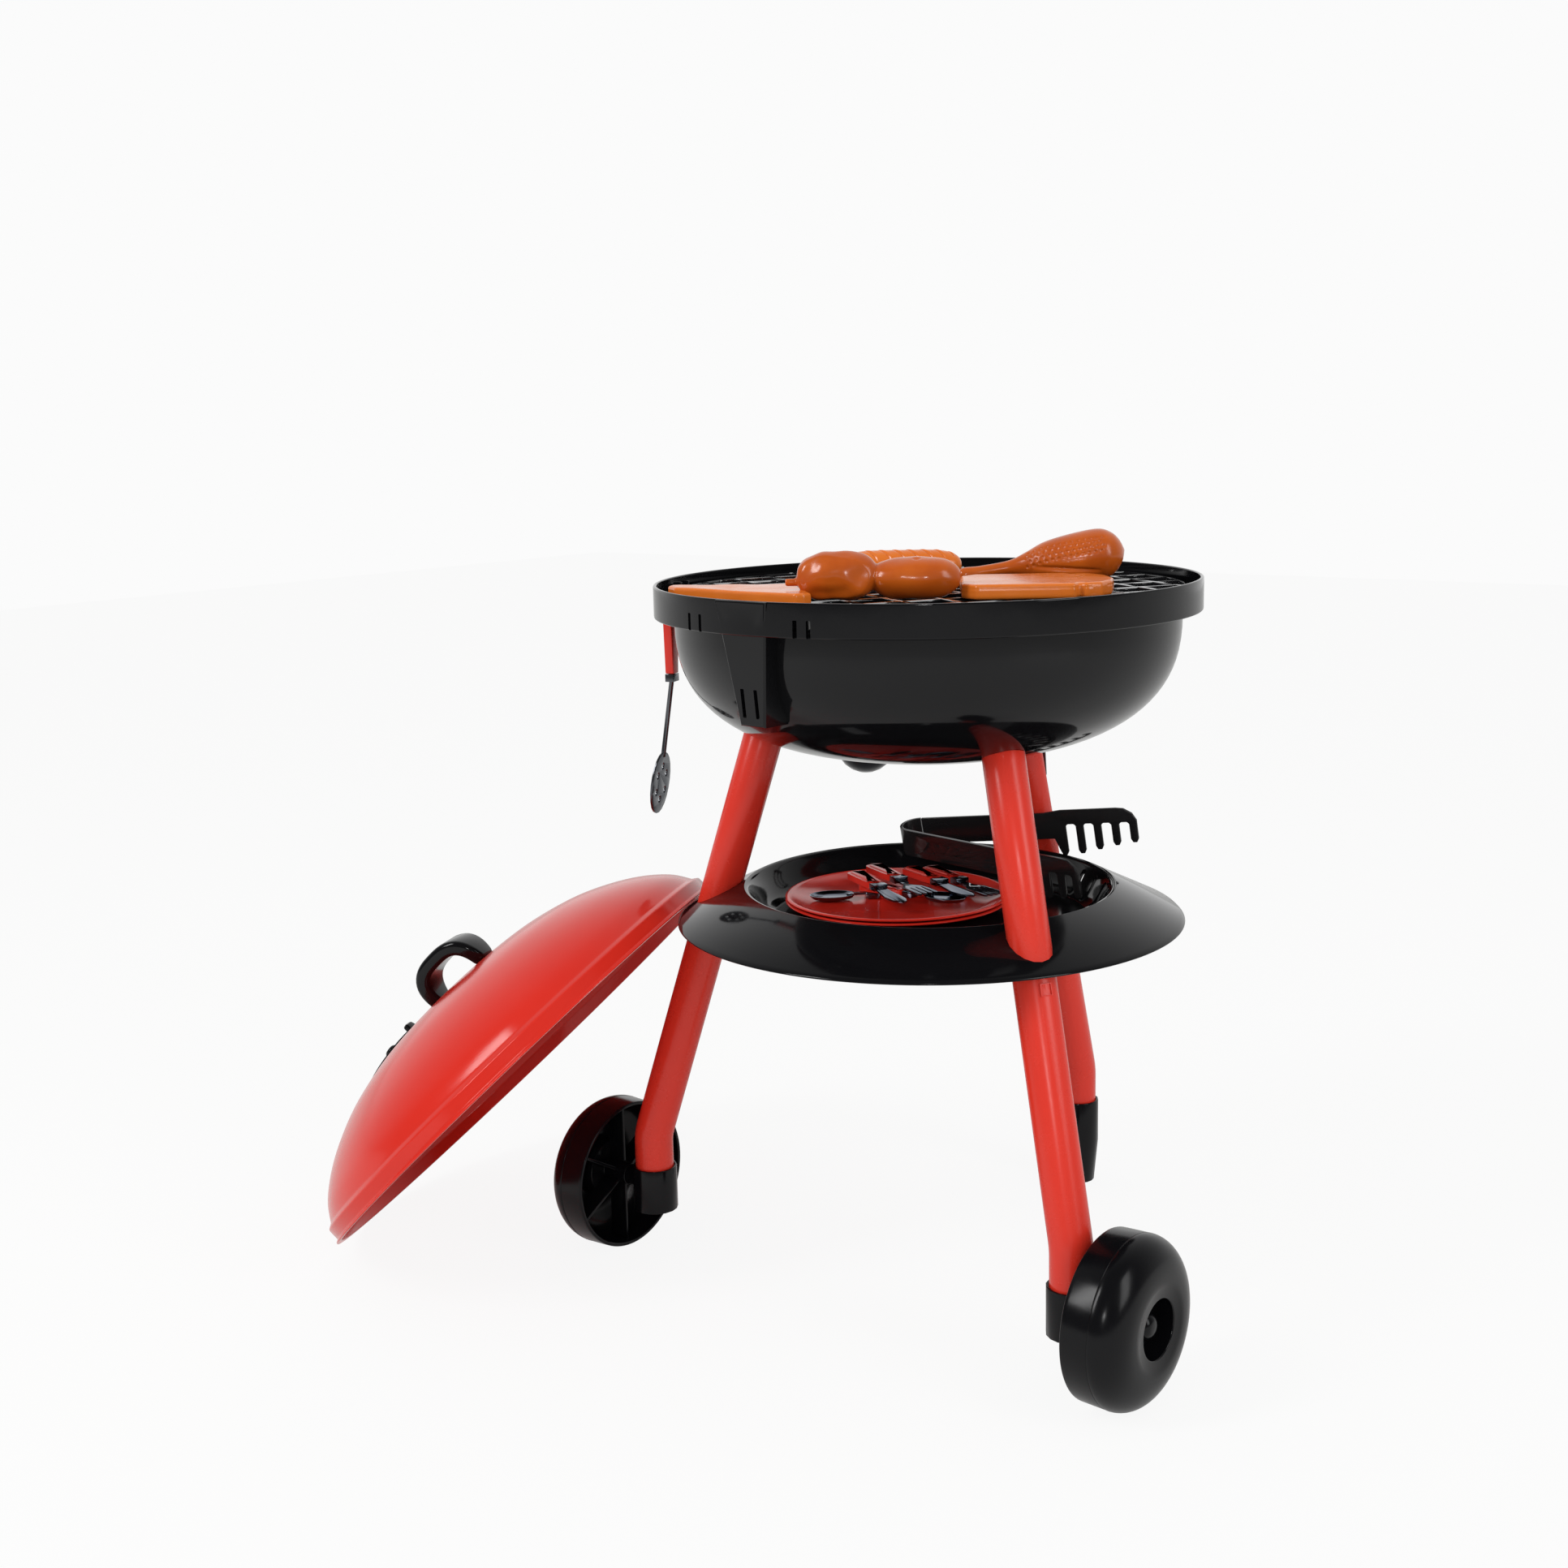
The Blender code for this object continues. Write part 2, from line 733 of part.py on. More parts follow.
def make_axle_cap(which):
    side = -1 if which == "left" else 1
    foot = leg_point(which, leg_bend_height)
    cap = sleeve("axle_cap_" + which, axle_cap_height, axle_cap_bottom, axle_cap_floor,
                 leg_radius + cap_wall + sleeve_gap)
    bore = rod("cap_bore", leg_radius + sleeve_gap, axle_cap_height, group=cutters)
    place(bore, Matrix.Translation((0, 0, axle_cap_bottom + axle_cap_floor)))
    stub = rod("stub", collar_radius, wheel_offset - spin_gap, group=cutters)
    fuse(stub, rod("axle", axle_radius, axle_length(), group=cutters))
    cut(place(stub, Matrix.Translation((0, 0, axle_height)) @ Matrix.Rotation(side * TAU / 4, 4, "Y")), bore)
    fuse(cap, stub)
    return smooth(place(cap, Matrix.Translation((foot.x, foot.y, 0))))


def axle_length():
    return wheel_offset + wheel_width - wheel_eye_depth + hub_cap_height * HALF


def make_foot_cap():
    cap = sleeve("foot_cap", foot_cap_height, 0, foot_cap_floor, foot_cap_bottom_radius)
    foot = leg_point("foot", leg_bend_height)
    return smooth(place(cap, Matrix.Translation((foot.x, foot.y, 0))))


def wheel_outline():
    """Section of the hollow wheel; z is the distance from its inner, open side."""
    shoulder = wheel_width * wheel_shoulder_share
    face = wheel_width
    outer = [(wheel_eye_radius, face - wheel_eye_depth * HALF),
             (wheel_eye_radius + wheel_wall * HALF, face - wheel_wall)]
    outer.append(((wheel_eye_radius + wheel_face_radius) * HALF, face))
    for i in range(5):
        turn = TAU / 4 * (1 - i / 4)
        outer.append((wheel_face_radius + (wheel_radius - wheel_face_radius) * math.cos(turn),
                      shoulder + (face - shoulder) * math.sin(turn)))
    outer.append((wheel_radius * 0.985, 0))
    inner = [(wheel_radius * 0.985 - wheel_wall, 0)]
    for i in range(5):
        turn = TAU / 4 * i / 4
        inner.append((wheel_face_radius + (wheel_radius - wheel_wall - wheel_face_radius) * math.cos(turn),
                      shoulder + (face - wheel_wall - shoulder) * math.sin(turn)))
    eye_floor = face - wheel_eye_depth
    inner.append((wheel_eye_radius + wheel_wall * 1.2, face - wheel_wall * 1.6))
    inner.append((wheel_eye_radius + wheel_wall, eye_floor - wheel_wall))
    inner.append((wheel_hub_radius, eye_floor - wheel_wall))
    inner.append((wheel_hub_radius, 0))
    bore = axle_radius + plug_gap
    return [(bore, eye_floor), (wheel_eye_radius, eye_floor)] + outer + inner + [(bore, 0)]


def make_wheel(which):
    side = -1 if which == "left" else 1
    foot = leg_point(which, leg_bend_height)
    wheel = turned("wheel_" + which, list(wheel_outline()), mid_steps, black_satin, closed=True)
    reach = wheel_radius - wheel_wall * HALF - wheel_hub_radius
    eye_floor = wheel_width - wheel_eye_depth
    tall = eye_floor - wheel_rib_setback - wheel_wall * HALF
    for i in range(wheel_rib_count):
        rib = block("rib", (reach, wheel_rib_thickness, tall),
                    (wheel_hub_radius - wheel_wall * HALF + reach * HALF, 0, wheel_rib_setback + tall * HALF),
                    group=cutters)
        fuse(wheel, place(rib, Matrix.Rotation(TAU * i / wheel_rib_count, 4, "Z")))
    stand = Matrix.Translation((foot.x + side * wheel_offset, foot.y, axle_height))
    place(wheel, stand @ Matrix.Rotation(side * TAU / 4, 4, "Y"))
    return own_origin(smooth(wheel), (foot.x, foot.y, axle_height))


def make_hub_cap(which):
    side = -1 if which == "left" else 1
    foot = leg_point(which, leg_bend_height)
    base = wheel_width - wheel_eye_depth + spin_gap
    hole = axle_radius + seat_gap
    deep = hub_cap_height * HALF - spin_gap + seat_gap
    outline = [(0, hub_cap_height), (hub_cap_radius * 0.5, hub_cap_height * 0.95),
               (hub_cap_radius * 0.86, hub_cap_height * 0.72), (hub_cap_radius, hub_cap_height * 0.35),
               (hub_cap_radius, 0), (hole, 0), (hole, deep), (0, deep)]
    cap = turned("hub_cap_" + which, outline, small_steps, black_satin)
    stand = Matrix.Translation((foot.x + side * (wheel_offset + base), foot.y, axle_height))
    return smooth(place(cap, stand @ Matrix.Rotation(side * TAU / 4, 4, "Y")))


def lid_curve(inset):
    """Outer side of the dome from its top down to the skirt, moved in by inset."""
    points = [(0, lid_height * lid_height_shares[-1] - inset)]
    pairs = list(zip(lid_radius_shares, lid_height_shares))
    for radius_share, height_share in reversed(pairs):
        points.append((lid_radius * radius_share - inset * HALF, lid_height * height_share - inset))
    return points


def lid_frame():
    out = Vector((math.cos(lid_azimuth), math.sin(lid_azimuth), 0))
    up = out * math.sin(lid_tilt) + Z_AXIS * math.cos(lid_tilt)
    centre = out * lid_axis_reach + Z_AXIS * (lid_radius * math.sin(lid_tilt) + seat_gap)
    climb = Z_AXIS * math.sin(lid_tilt) - out * math.cos(lid_tilt)
    return frame_at(centre, climb, up)


def make_lid():
    skirt = lid_radius - lid_lip
    outline = lid_curve(0)
    outline += [(skirt, lid_skirt_height), (skirt, lid_lip), (lid_radius, lid_lip * HALF), (lid_radius, 0),
                (skirt - lid_wall, 0), (skirt - lid_wall, lid_skirt_height - lid_wall)]
    outline += list(reversed(lid_curve(lid_wall)))
    lid = turned("lid", outline, big_steps, red_gloss)
    press_scoop(lid)
    for i in range(vent_hole_count):
        hole = rod("vent_hole", vent_hole_radius, overrun * 2, group=cutters)
        cut(lid, place(hole, vent_hole_frame(i)))
    pin = rod("vent_pin", pivot_radius, overrun * HALF + vent_pivot_rise(), group=cutters)
    place(pin, vent_frame() @ Matrix.Translation((0, 0, -overrun * HALF)))
    hollow = [(0, lid_height * HALF), (lid_radius, lid_height * HALF), (lid_radius, -overrun), (0, -overrun)]
    inside = turned("lid_inside", hollow, big_steps, group=cutters)
    cut(pin, inside)
    fuse(lid, pin)
    place(lid, lid_frame())
    return own_origin(smooth(lid), lid_frame().translation)


def press_scoop(lid):
    """A finger scoop pressed into the crown under the handle, with the dome's own wall."""
    halves = Vector((scoop_length * HALF, scoop_width * HALF, scoop_depth))
    middle = Matrix.Translation((handle_shift, 0, lid_height))
    outside = halves + Vector((lid_wall, lid_wall, lid_wall))
    under = place(ball("scoop_wall", outside, mid_steps, group=cutters), middle)
    dome = turned("dome_block", lid_curve(lid_wall * HALF) + [(lid_radius * HALF, 0), (0, 0)], big_steps,
                  group=cutters)
    boolean(under, dome, "INTERSECT")
    fuse(lid, under)
    cut(lid, place(ball("scoop", halves, mid_steps, group=cutters), middle))


def vent_pivot_rise():
    return vent_disc_thickness + seat_gap * 4 + vent_tab_height * HALF


def dome_height(reach):
    """Height of the dome's outer side at a distance from its axis."""
    curve = lid_curve(0)
    for (r0, z0), (r1, z1) in zip(curve, curve[1:]):
        if r0 <= reach <= r1:
            return z0 + (z1 - z0) * (reach - r0) / (r1 - r0)
    return 0


def vent_frame():
    """Frame of the vent disc, in the lid's frame, on the down-slope side of the dome."""
    low = dome_height(vent_disc_reach + vent_disc_radius)
    high = dome_height(vent_disc_reach - vent_disc_radius)
    tilt = math.atan2(high - low, vent_disc_radius * 2)
    rise = dome_height(vent_disc_reach) + seat_gap
    up = Vector((-math.sin(tilt), 0, math.cos(tilt)))
    return frame_at((-vent_disc_reach, 0, rise), (1, 0, 0), up)


def vent_hole_frame(index):
    turn = TAU * (index + HALF) / vent_hole_count
    spot = (vent_hole_reach * math.cos(turn), vent_hole_reach * math.sin(turn), -overrun)
    return vent_frame() @ Matrix.Translation(spot)


def make_vent_disc():
    loops = [oval(vent_disc_radius, vent_disc_radius, mid_steps),
             oval(pivot_radius + seat_gap * 2, pivot_radius + seat_gap * 2, small_steps)]
    for i in range(vent_hole_count):
        turn = TAU * (i + HALF) / vent_hole_count
        loops.append(oval(vent_hole_radius, vent_hole_radius, 12,
                          (vent_hole_reach * math.cos(turn), vent_hole_reach * math.sin(turn))))
    disc = flat_outline("vent_disc", loops, vent_disc_thickness, black_satin)
    place(disc, Matrix.Translation((0, 0, vent_disc_thickness * HALF)))
    tab = block("tab", (vent_tab_size * HALF, vent_tab_size, vent_tab_height),
                (vent_disc_radius - vent_tab_size * HALF, 0, (vent_tab_height + vent_disc_thickness) * HALF),
                (0.8, 0.8), group=cutters)
    fuse(disc, bevel(tab, vent_tab_height * 0.15, 1))
    rise = Matrix.Translation((0, 0, vent_disc_lift()))
    place(disc, lid_frame() @ vent_frame() @ rise)
    return own_origin(smooth(disc), (lid_frame() @ vent_frame()).translation)


def vent_disc_lift():
    """The dome bulges under the flat disc: this lifts the disc clear of it."""
    frame = vent_frame()
    inverse = frame.inverted()
    samples = 12
    worst = 0.0
    for i in range(samples + 1):
        for j in range(samples + 1):
            x = vent_disc_radius * (2 * i / samples - 1)
            y = vent_disc_radius * (2 * j / samples - 1)
            if math.hypot(x, y) > vent_disc_radius * 1.02:
                continue
            spot = frame @ Vector((x, y, 0))
            reach = math.hypot(spot.x, spot.y)
            over = inverse @ Vector((spot.x, spot.y, dome_height(reach)))
            worst = max(worst, over.z)
    return worst + seat_gap


def make_vent_knob():
    """The pivot's knob, pressed over the lid's pin above the disc."""
    lift = vent_disc_lift() + vent_disc_thickness + seat_gap
    hole = pivot_radius + seat_gap
    deep = vent_pivot_rise() - lift + seat_gap
    wide = vent_tab_size * HALF
    tall = vent_tab_height
    outline = [(0, tall), (wide * 0.7, tall), (wide, tall * 0.75), (wide, 0)]
    outline += [(hole, 0), (hole, deep), (0, deep)]
    knob = turned("vent_knob", outline, small_steps, black_satin)
    return smooth(place(knob, lid_frame() @ vent_frame() @ Matrix.Translation((0, 0, lift))))


def make_handle():
    """A strap bow over the dome's crown, in the plane of the slope."""
    outer, inner = [], []
    for i in range(handle_points + 1):
        turn = math.pi * i / handle_points
        x = math.copysign(abs(math.cos(turn)) ** handle_round_share, math.cos(turn))
        z = math.sin(turn) ** handle_round_share
        outer.append((x * handle_span * HALF, z * handle_rise))
        inner.append((x * (handle_span * HALF - handle_thickness), z * (handle_rise - handle_thickness)))
    outer[0] = (handle_span * HALF, 0)
    outer[-1] = (-handle_span * HALF, 0)
    inner[0] = (handle_span * HALF - handle_thickness, 0)
    inner[-1] = (-handle_span * HALF + handle_thickness, 0)
    bow = flat_outline("lid_handle", [outer + list(reversed(inner))], handle_width, black_gloss)
    for vertex in bow.data.vertices:
        rise_share = min(1, vertex.co.y / (handle_rise - handle_thickness))
        vertex.co.z *= handle_foot_share + (1 - handle_foot_share) * rise_share
    bevel(bow, handle_thickness * 0.28, 2, math.radians(60))
    stand = frame_at((handle_shift, 0, lid_height + seat_gap), (1, 0, 0), (0, -1, 0))
    place(bow, lid_frame() @ stand)
    return smooth(bow)


def grate_holes(tall):
    """The openings between the bars: square prisms kept inside the ring."""
    inside = grate_radius - grate_skirt
    side = grate_pitch - grate_bar
    reach = int(inside / grate_pitch) + 1
    mesh = bpy.data.meshes.new("grate_holes")
    cage = bmesh.new()
    for i in range(-reach, reach):
        for j in range(-reach, reach):
            spot = Vector(((i + HALF) * grate_pitch, (j + HALF) * grate_pitch, tall * HALF))
            near = Vector((abs(spot.x) - side * HALF, abs(spot.y) - side * HALF))
            if near.length > inside - grate_bar:
                continue
            made = bmesh.ops.create_cube(cage, size=1)["verts"]
            bmesh.ops.scale(cage, verts=made, vec=(side, side, tall + overrun))
            bmesh.ops.translate(cage, verts=made, vec=spot)
    cage.to_mesh(mesh)
    cage.free()
    holes = link_object("grate_holes", mesh, None, cutters)
    round_edge = rod("grate_inside", inside, tall + overrun * 2, big_steps, group=cutters)
    place(round_edge, Matrix.Translation((0, 0, -overrun)))
    return boolean(holes, round_edge, "INTERSECT")


def make_grate():
    """A skirted disc on the bowl's step, with square openings between crossing bars."""
    base = ledge_height + seat_gap
    tall = rim_height - grate_top_drop - base
    inner = grate_radius - grate_skirt
    outline = [(0, tall), (grate_radius - grate_skirt * HALF, tall), (grate_radius, tall - grate_skirt * HALF),
               (grate_radius, 0), (inner, 0), (inner, tall - grate_bar_height), (0, tall - grate_bar_height)]
    grate = turned("grate", outline, big_steps, grate_grey)
    cut(grate, grate_holes(tall))
    place(grate, Matrix.Translation((0, 0, base)) @ Matrix.Rotation(grate_turn, 4, "Z"))
    return own_origin(smooth(grate), (0, 0, base))


def food_frame(spot, turn=0.0, lift=0.0):
    """A frame on the grate's top: spot is how far right of and behind the centre."""
    right = polar(1, food_right, 0)
    away = Vector((-right.y, right.x, 0))
    top = rim_height - grate_top_drop + seat_gap + lift
    origin = right * spot[0] + away * spot[1] + Z_AXIS * top
    return Matrix.Translation(origin) @ Matrix.Rotation(food_right + turn, 4, "Z")


def make_slab():
    """A fish fillet: flat, narrow at the tail on the left, wide at the cut end."""
    corner_shares = ((-0.50, 0.30), (-0.44, 0.13), (0.42, -0.68), (0.48, -0.66), (0.52, -0.58),
                     (0.37, 0.24), (0.33, 0.30), (-0.42, 0.38), (-0.48, 0.37))
    outline = [(x * slab_length, y * slab_width) for x, y in corner_shares]
    slab = flat_outline("food_fillet", [outline], slab_thickness, food_orange)
    bevel(slab, slab_thickness * 0.15, 2, math.radians(50))
    place(slab, food_frame(slab_place) @ Matrix.Translation((0, 0, slab_thickness * HALF)))
    return own_origin(smooth(slab), food_frame(slab_place).translation)


def make_steak():
    """A steak with a rounded right end that two notches set off."""
    half_l, half_w = steak_length * HALF, steak_width * HALF
    notch = steak_width * 0.07
    end = [(half_l * math.cos(t) * 0.42 + half_l * 0.58, half_w * 0.94 * math.sin(t))
           for t in [TAU * HALF * (i / steak_end_steps - HALF) for i in range(steak_end_steps + 1)]]
    body = [(half_l * 0.50, half_w - notch), (half_l * 0.44, half_w), (-half_l * 0.82, half_w),
            (-half_l, half_w * 0.72), (-half_l, -half_w * 0.72), (-half_l * 0.82, -half_w),
            (half_l * 0.44, -half_w), (half_l * 0.50, -half_w + notch)]
    steak = flat_outline("food_steak", [end + body], steak_thickness, food_orange)
    bevel(steak, steak_thickness * 0.2, 2, math.radians(50))
    place(steak, food_frame(steak_place) @ Matrix.Translation((0, 0, steak_thickness * HALF)))
    return own_origin(smooth(steak), food_frame(steak_place).translation)


def make_kebab():
    """Two lumps on a stick, moulded in one piece."""
    total = kebab_first_length + kebab_second_length
    halves = (kebab_first_length * HALF * 1.06, kebab_first_radius * 1.15, kebab_first_radius)
    first = ball("food_kebab", halves, small_steps, food_orange)
    place(first, Matrix.Translation((-kebab_second_length * HALF, 0, kebab_first_radius)))
    second = ball("lump", (kebab_second_length * HALF * 1.06, kebab_second_radius * 1.2, kebab_second_radius),
                  small_steps, group=cutters)
    fuse(first, place(second, Matrix.Translation((kebab_first_length * HALF, 0, kebab_second_radius))))
    stick = rod("stick", kebab_stick_radius, total * HALF + kebab_stick_end, 8, group=cutters)
    lay = Matrix.Translation((-total * HALF - kebab_stick_end, 0, kebab_first_radius * 0.9))
    fuse(first, place(stick, lay @ Matrix.Rotation(TAU / 4, 4, "Y")))
    place(first, food_frame(kebab_place))
    return own_origin(smooth(first), food_frame(kebab_place).translation)


def make_sausage():
    half = sausage_length * HALF
    length_shares = [0, 0.05, 0.16, 0.5, 0.84, 0.95, 1]
    width_shares = [0, 0.62, 0.93, 1, 0.93, 0.62, 0]
    outline = [(sausage_radius * w, half * (1 - 2 * s)) for s, w in zip(length_shares, width_shares)]
    sausage = turned("food_sausage", outline, small_steps, food_orange)
    lay = Matrix.Translation((0, 0, sausage_radius)) @ Matrix.Rotation(TAU / 4, 4, "Y")
    place(sausage, food_frame(sausage_place) @ lay)
    return own_origin(smooth(sausage), food_frame(sausage_place).translation)


def make_drumstick():
    """A drumstick on the grate: its axis climbs towards the thick end."""
    shares = (0, 0.025, 0.07, 0.145, 0.30, 0.46, 0.57, 0.68, 0.85, 0.96, 1)
    widths = (0, 0.45, 0.80, 1.0, 0.96, 0.80, 0.52, 0.29, 0.25, 0.27, 0)
    outline = [(drum_radius * w, drum_length * (1 - s)) for s, w in zip(shares, widths)]
    drum = turned("food_drumstick", outline, small_steps, food_orange)
    thick, neck = 3, 9
    run = drum_length * (shares[neck] - shares[thick])
    climb = math.asin(drum_radius * (widths[thick] - widths[neck]) / run)
    place(drum, Matrix.Rotation(TAU / 4 - climb, 4, "Y"))
    low = min(vertex.co.z for vertex in drum.data.vertices)
    place(drum, food_frame(drum_place, drum_turn, -low))
    return own_origin(smooth(drum), food_frame(drum_place).translation)


def plate_base(index):
    return shelf_floor_height + seat_gap + index * plate_pitch


def make_plate(index):
    """A moulded plate: flat well, sloping side, narrow level rim."""
    w = plate_wall
    side = plate_foot_radius + (plate_radius - plate_foot_radius) * 0.62
    outline = [(0, w), (plate_foot_radius, w), (side, plate_rise), (plate_radius - w, plate_rise + w * HALF),
               (plate_radius, plate_rise), (plate_radius - w * HALF, plate_rise - w * HALF),
               (side + w * HALF, plate_rise - w), (plate_foot_radius + w * HALF, 0), (0, 0)]
    plate = turned("plate_" + ("lower", "upper")[index], outline, mid_steps + 4, red_gloss)
    spot = (plate_centre[0], plate_centre[1], plate_base(index))
    return own_origin(smooth(place(plate, Matrix.Translation(spot))), spot)


def cutlery_bar():
    """Outline of a cutlery handle, from its end at x = 0 to the collar."""
    length = cutlery_handle_length
    half = cutlery_width * HALF
    return [(0, half * 0.55), (0, -half * 0.55), (length * 0.08, -half), (length * 0.75, -half * 0.92),
            (length, -half * 0.75), (length, half * 0.75), (length * 0.75, half * 0.92), (length * 0.08, half)]


def cutlery_head(kind, name):
    start = cutlery_handle_length + seat_gap
    collar = block(name, (collar_length, cutlery_width * 0.8, cutlery_thickness),
                   (start + collar_length * HALF, 0, cutlery_thickness * HALF), paint=steel_look)
    neck_start = start + collar_length * HALF
    if kind == "spoon":
        neck = [(neck_start, -cutlery_width * 0.18), (cutlery_length - spoon_length * 0.8, -cutlery_width * 0.14),
                (cutlery_length - spoon_length * 0.8, cutlery_width * 0.14), (neck_start, cutlery_width * 0.18)]
        head = flat_outline("head", [neck], blade_thickness, group=cutters)
        place(head, Matrix.Translation((0, 0, spoon_depth - blade_thickness * HALF)))
        w = blade_thickness
        cup = [(0, w), (0.45, w * 1.3), (0.8, spoon_depth * 0.62), (1 - 0.06, spoon_depth), (1, spoon_depth),
               (0.88, spoon_depth * 0.36), (0.5, w * 0.2), (0, 0)]
        bowl = turned("cup", [(r * spoon_width * HALF, z) for r, z in cup], small_steps, group=cutters)
        stretch = Matrix.Diagonal((spoon_length / spoon_width, 1, 1, 1))
        place(bowl, Matrix.Translation((cutlery_length - spoon_length * HALF, 0, 0)) @ stretch)
        fuse(head, bowl)
    else:
        half = blade_width * HALF
        if kind == "knife":
            blade = [(neck_start, -half * 0.35), (neck_start + collar_length, -half * 0.55),
                     (cutlery_length * 0.80, -half), (cutlery_length * 0.93, -half * 0.86),
                     (cutlery_length, -half * 0.2), (cutlery_length * 0.985, half * 0.12),
                     (cutlery_length * 0.9, half * 0.5), (neck_start + collar_length, half * 0.45),
                     (neck_start, half * 0.35)]
        else:
            blade = fork_outline(neck_start, half)
        head = flat_outline("head", [blade], blade_thickness, group=cutters)
        place(head, Matrix.Translation((0, 0, blade_thickness * HALF + merge_gap * 2)))
    return fuse(collar, head)


def fork_outline(start, half):
    root = cutlery_length - tine_length
    points = [(start, half * 0.3), (start, -half * 0.3), (root - tine_length * 0.55, -half * 0.4),
              (root - tine_length * 0.2, -half)]
    width = 2 * half / (tine_count + (tine_count - 1) * tine_gap_share)
    pitch = width * (1 + tine_gap_share)
    for i in range(tine_count):
        low = -half + i * pitch
        high = low + width
        points += [(cutlery_length - width * 0.4, low), (cutlery_length, (low + high) * HALF),
                   (cutlery_length - width * 0.4, high)]
        if i < tine_count - 1:
            points += [(root, high), (root, low + pitch)]
    points += [(root - tine_length * 0.2, half), (root - tine_length * 0.55, half * 0.4)]
    return points


# Cutlery on the upper plate: name, kind, the handle's end as shares of the plate's
# radius to the right of and behind its centre, heading from the right, and layer
CUTLERY = (("spoon_a", "spoon", (0.31, 0.15), math.radians(193), 0),
           ("fork_a", "fork", (0.273, 0.79), math.radians(-58), 0.95),
           ("spoon_b", "spoon", (-0.32, 0.14), math.radians(-35), 1),
           ("knife_a", "knife", (-0.40, 0.34), math.radians(-64), 2),
           ("fork_b", "fork", (-0.24, 0.62), math.radians(-62), 2),
           ("knife_b", "knife", (0.09, 0.50), math.radians(-58), 2))


def make_cutlery(name, kind, shares, heading, layer):
    handle = flat_outline(name + "_handle", [cutlery_bar()], cutlery_thickness, red_gloss)
    place(handle, Matrix.Translation((0, 0, cutlery_thickness * HALF)))
    bevel(handle, cutlery_thickness * 0.2, 1, math.radians(50))
    head = cutlery_head(kind, name + "_head")
    right = polar(1, food_right, 0)
    away = Vector((-right.y, right.x, 0))
    height = plate_base(1) + plate_wall + seat_gap + layer * (cutlery_thickness + seat_gap + merge_gap)
    spot = Vector((plate_centre[0], plate_centre[1], height))
    spot += right * shares[0] * plate_radius + away * shares[1] * plate_radius
    lay = Matrix.Translation(spot) @ Matrix.Rotation(food_right + heading, 4, "Z")
    for piece in (handle, head):
        own_origin(smooth(place(piece, lay)), spot)
    return handle, head


def tongs_arm_outline():
    """Side view of an arm: a strap that ends in a comb whose fingers get shorter."""
    half = tongs_finger_width * HALF
    top = tongs_strap + tongs_comb_rise
    count = len(tongs_finger_grades)
    first = tongs_reach - (count - 1) * tongs_finger_pitch
    points = [(0, tongs_strap), (0, 0), (first - tongs_finger_pitch * HALF, 0)]
    for i in range(count):
        middle = first + i * tongs_finger_pitch
        tip = -tongs_finger_drop - tongs_finger_grades[count - 1 - i]
        points += [(middle - half, tip + half), (middle - half * HALF, tip), (middle + half * HALF, tip),
                   (middle + half, tip + half)]
        if i < count - 1:
            away = middle + tongs_finger_pitch - half
            points += [(middle + half, tongs_gap_root - half * HALF), (middle + half * 1.5, tongs_gap_root),
                       (away - half * HALF, tongs_gap_root), (away, tongs_gap_root - half * HALF)]
    end = tongs_reach + half
    points += [(end, top * 0.55), (end - half, top * 0.8), (end - half * 3, top * 0.97),
               (end - half * 5, top), (first, top), (first - tongs_finger_pitch, tongs_strap)]
    return points


def tongs_frame():
    """Bow over the shelf's crest, near comb on its floor, far arm up in front of a leg."""
    spot = Matrix.Translation((tongs_place[0], tongs_place[1], shelf_floor_height + tongs_lift))
    turn = Matrix.Rotation(tongs_heading, 4, "Z") @ Matrix.Rotation(-tongs_climb, 4, "Y")
    return spot @ turn @ Matrix.Rotation(tongs_lean, 4, "X")


def tongs_side(side):
    """Frame of one arm: it starts at the bow's end and heads outwards."""
    return Matrix.Rotation(side * tongs_half_angle, 4, "Z") @ Matrix.Translation(
        (0, side * (tongs_bow_radius - tongs_wall * HALF), 0))


def tongs_arm_piece(name, side):
    arm = flat_outline(name, [tongs_arm_outline()], tongs_wall, black_satin)
    return place(arm, tongs_side(side) @ Matrix.Rotation(TAU / 4, 4, "X"))


def make_tongs():
    """Two arms joined by a sprung bow; the far arm swings about the bow's end."""
    near = tongs_arm_piece("tongs_near_arm", -1)
    far = tongs_arm_piece("tongs_far_arm", 1)
    r = tongs_bow_radius
    ring = [(r, tongs_strap), (r, 0), (r - tongs_wall, 0), (r - tongs_wall, tongs_strap)]
    bow = turned("bow", ring, mid_steps, group=cutters, closed=True)
    for side, gap in ((-1, -tongs_wall * HALF), (1, tongs_squeeze_gap)):
        clear = block("clear", (r * 3, r * 3, tongs_strap * 3), (r * 1.5 - gap, 0, tongs_strap * HALF),
                      group=cutters)
        cut(bow, place(clear, tongs_side(side)))
    fuse(near, bow)
    hinge = tongs_side(1) @ Vector((-tongs_squeeze_gap * HALF, 0, 0))
    for arm in (near, far):
        place(arm, tongs_frame())
    own_origin(smooth(near), tongs_frame().translation)
    own_origin(smooth(far), tongs_frame() @ hinge)
    return near, far


def tool_frame(which):
    """Hanging tools' frame: x out from the bowl, z up, origin at the handle's top."""
    azimuth = tool_azimuths[which]
    top = polar(tool_reach, azimuth, rim_height - tool_top_drop)
    return frame_at(top, polar(1, azimuth, 0), Z_AXIS)


def tool_peg_drop():
    return tool_handle_width * 0.42


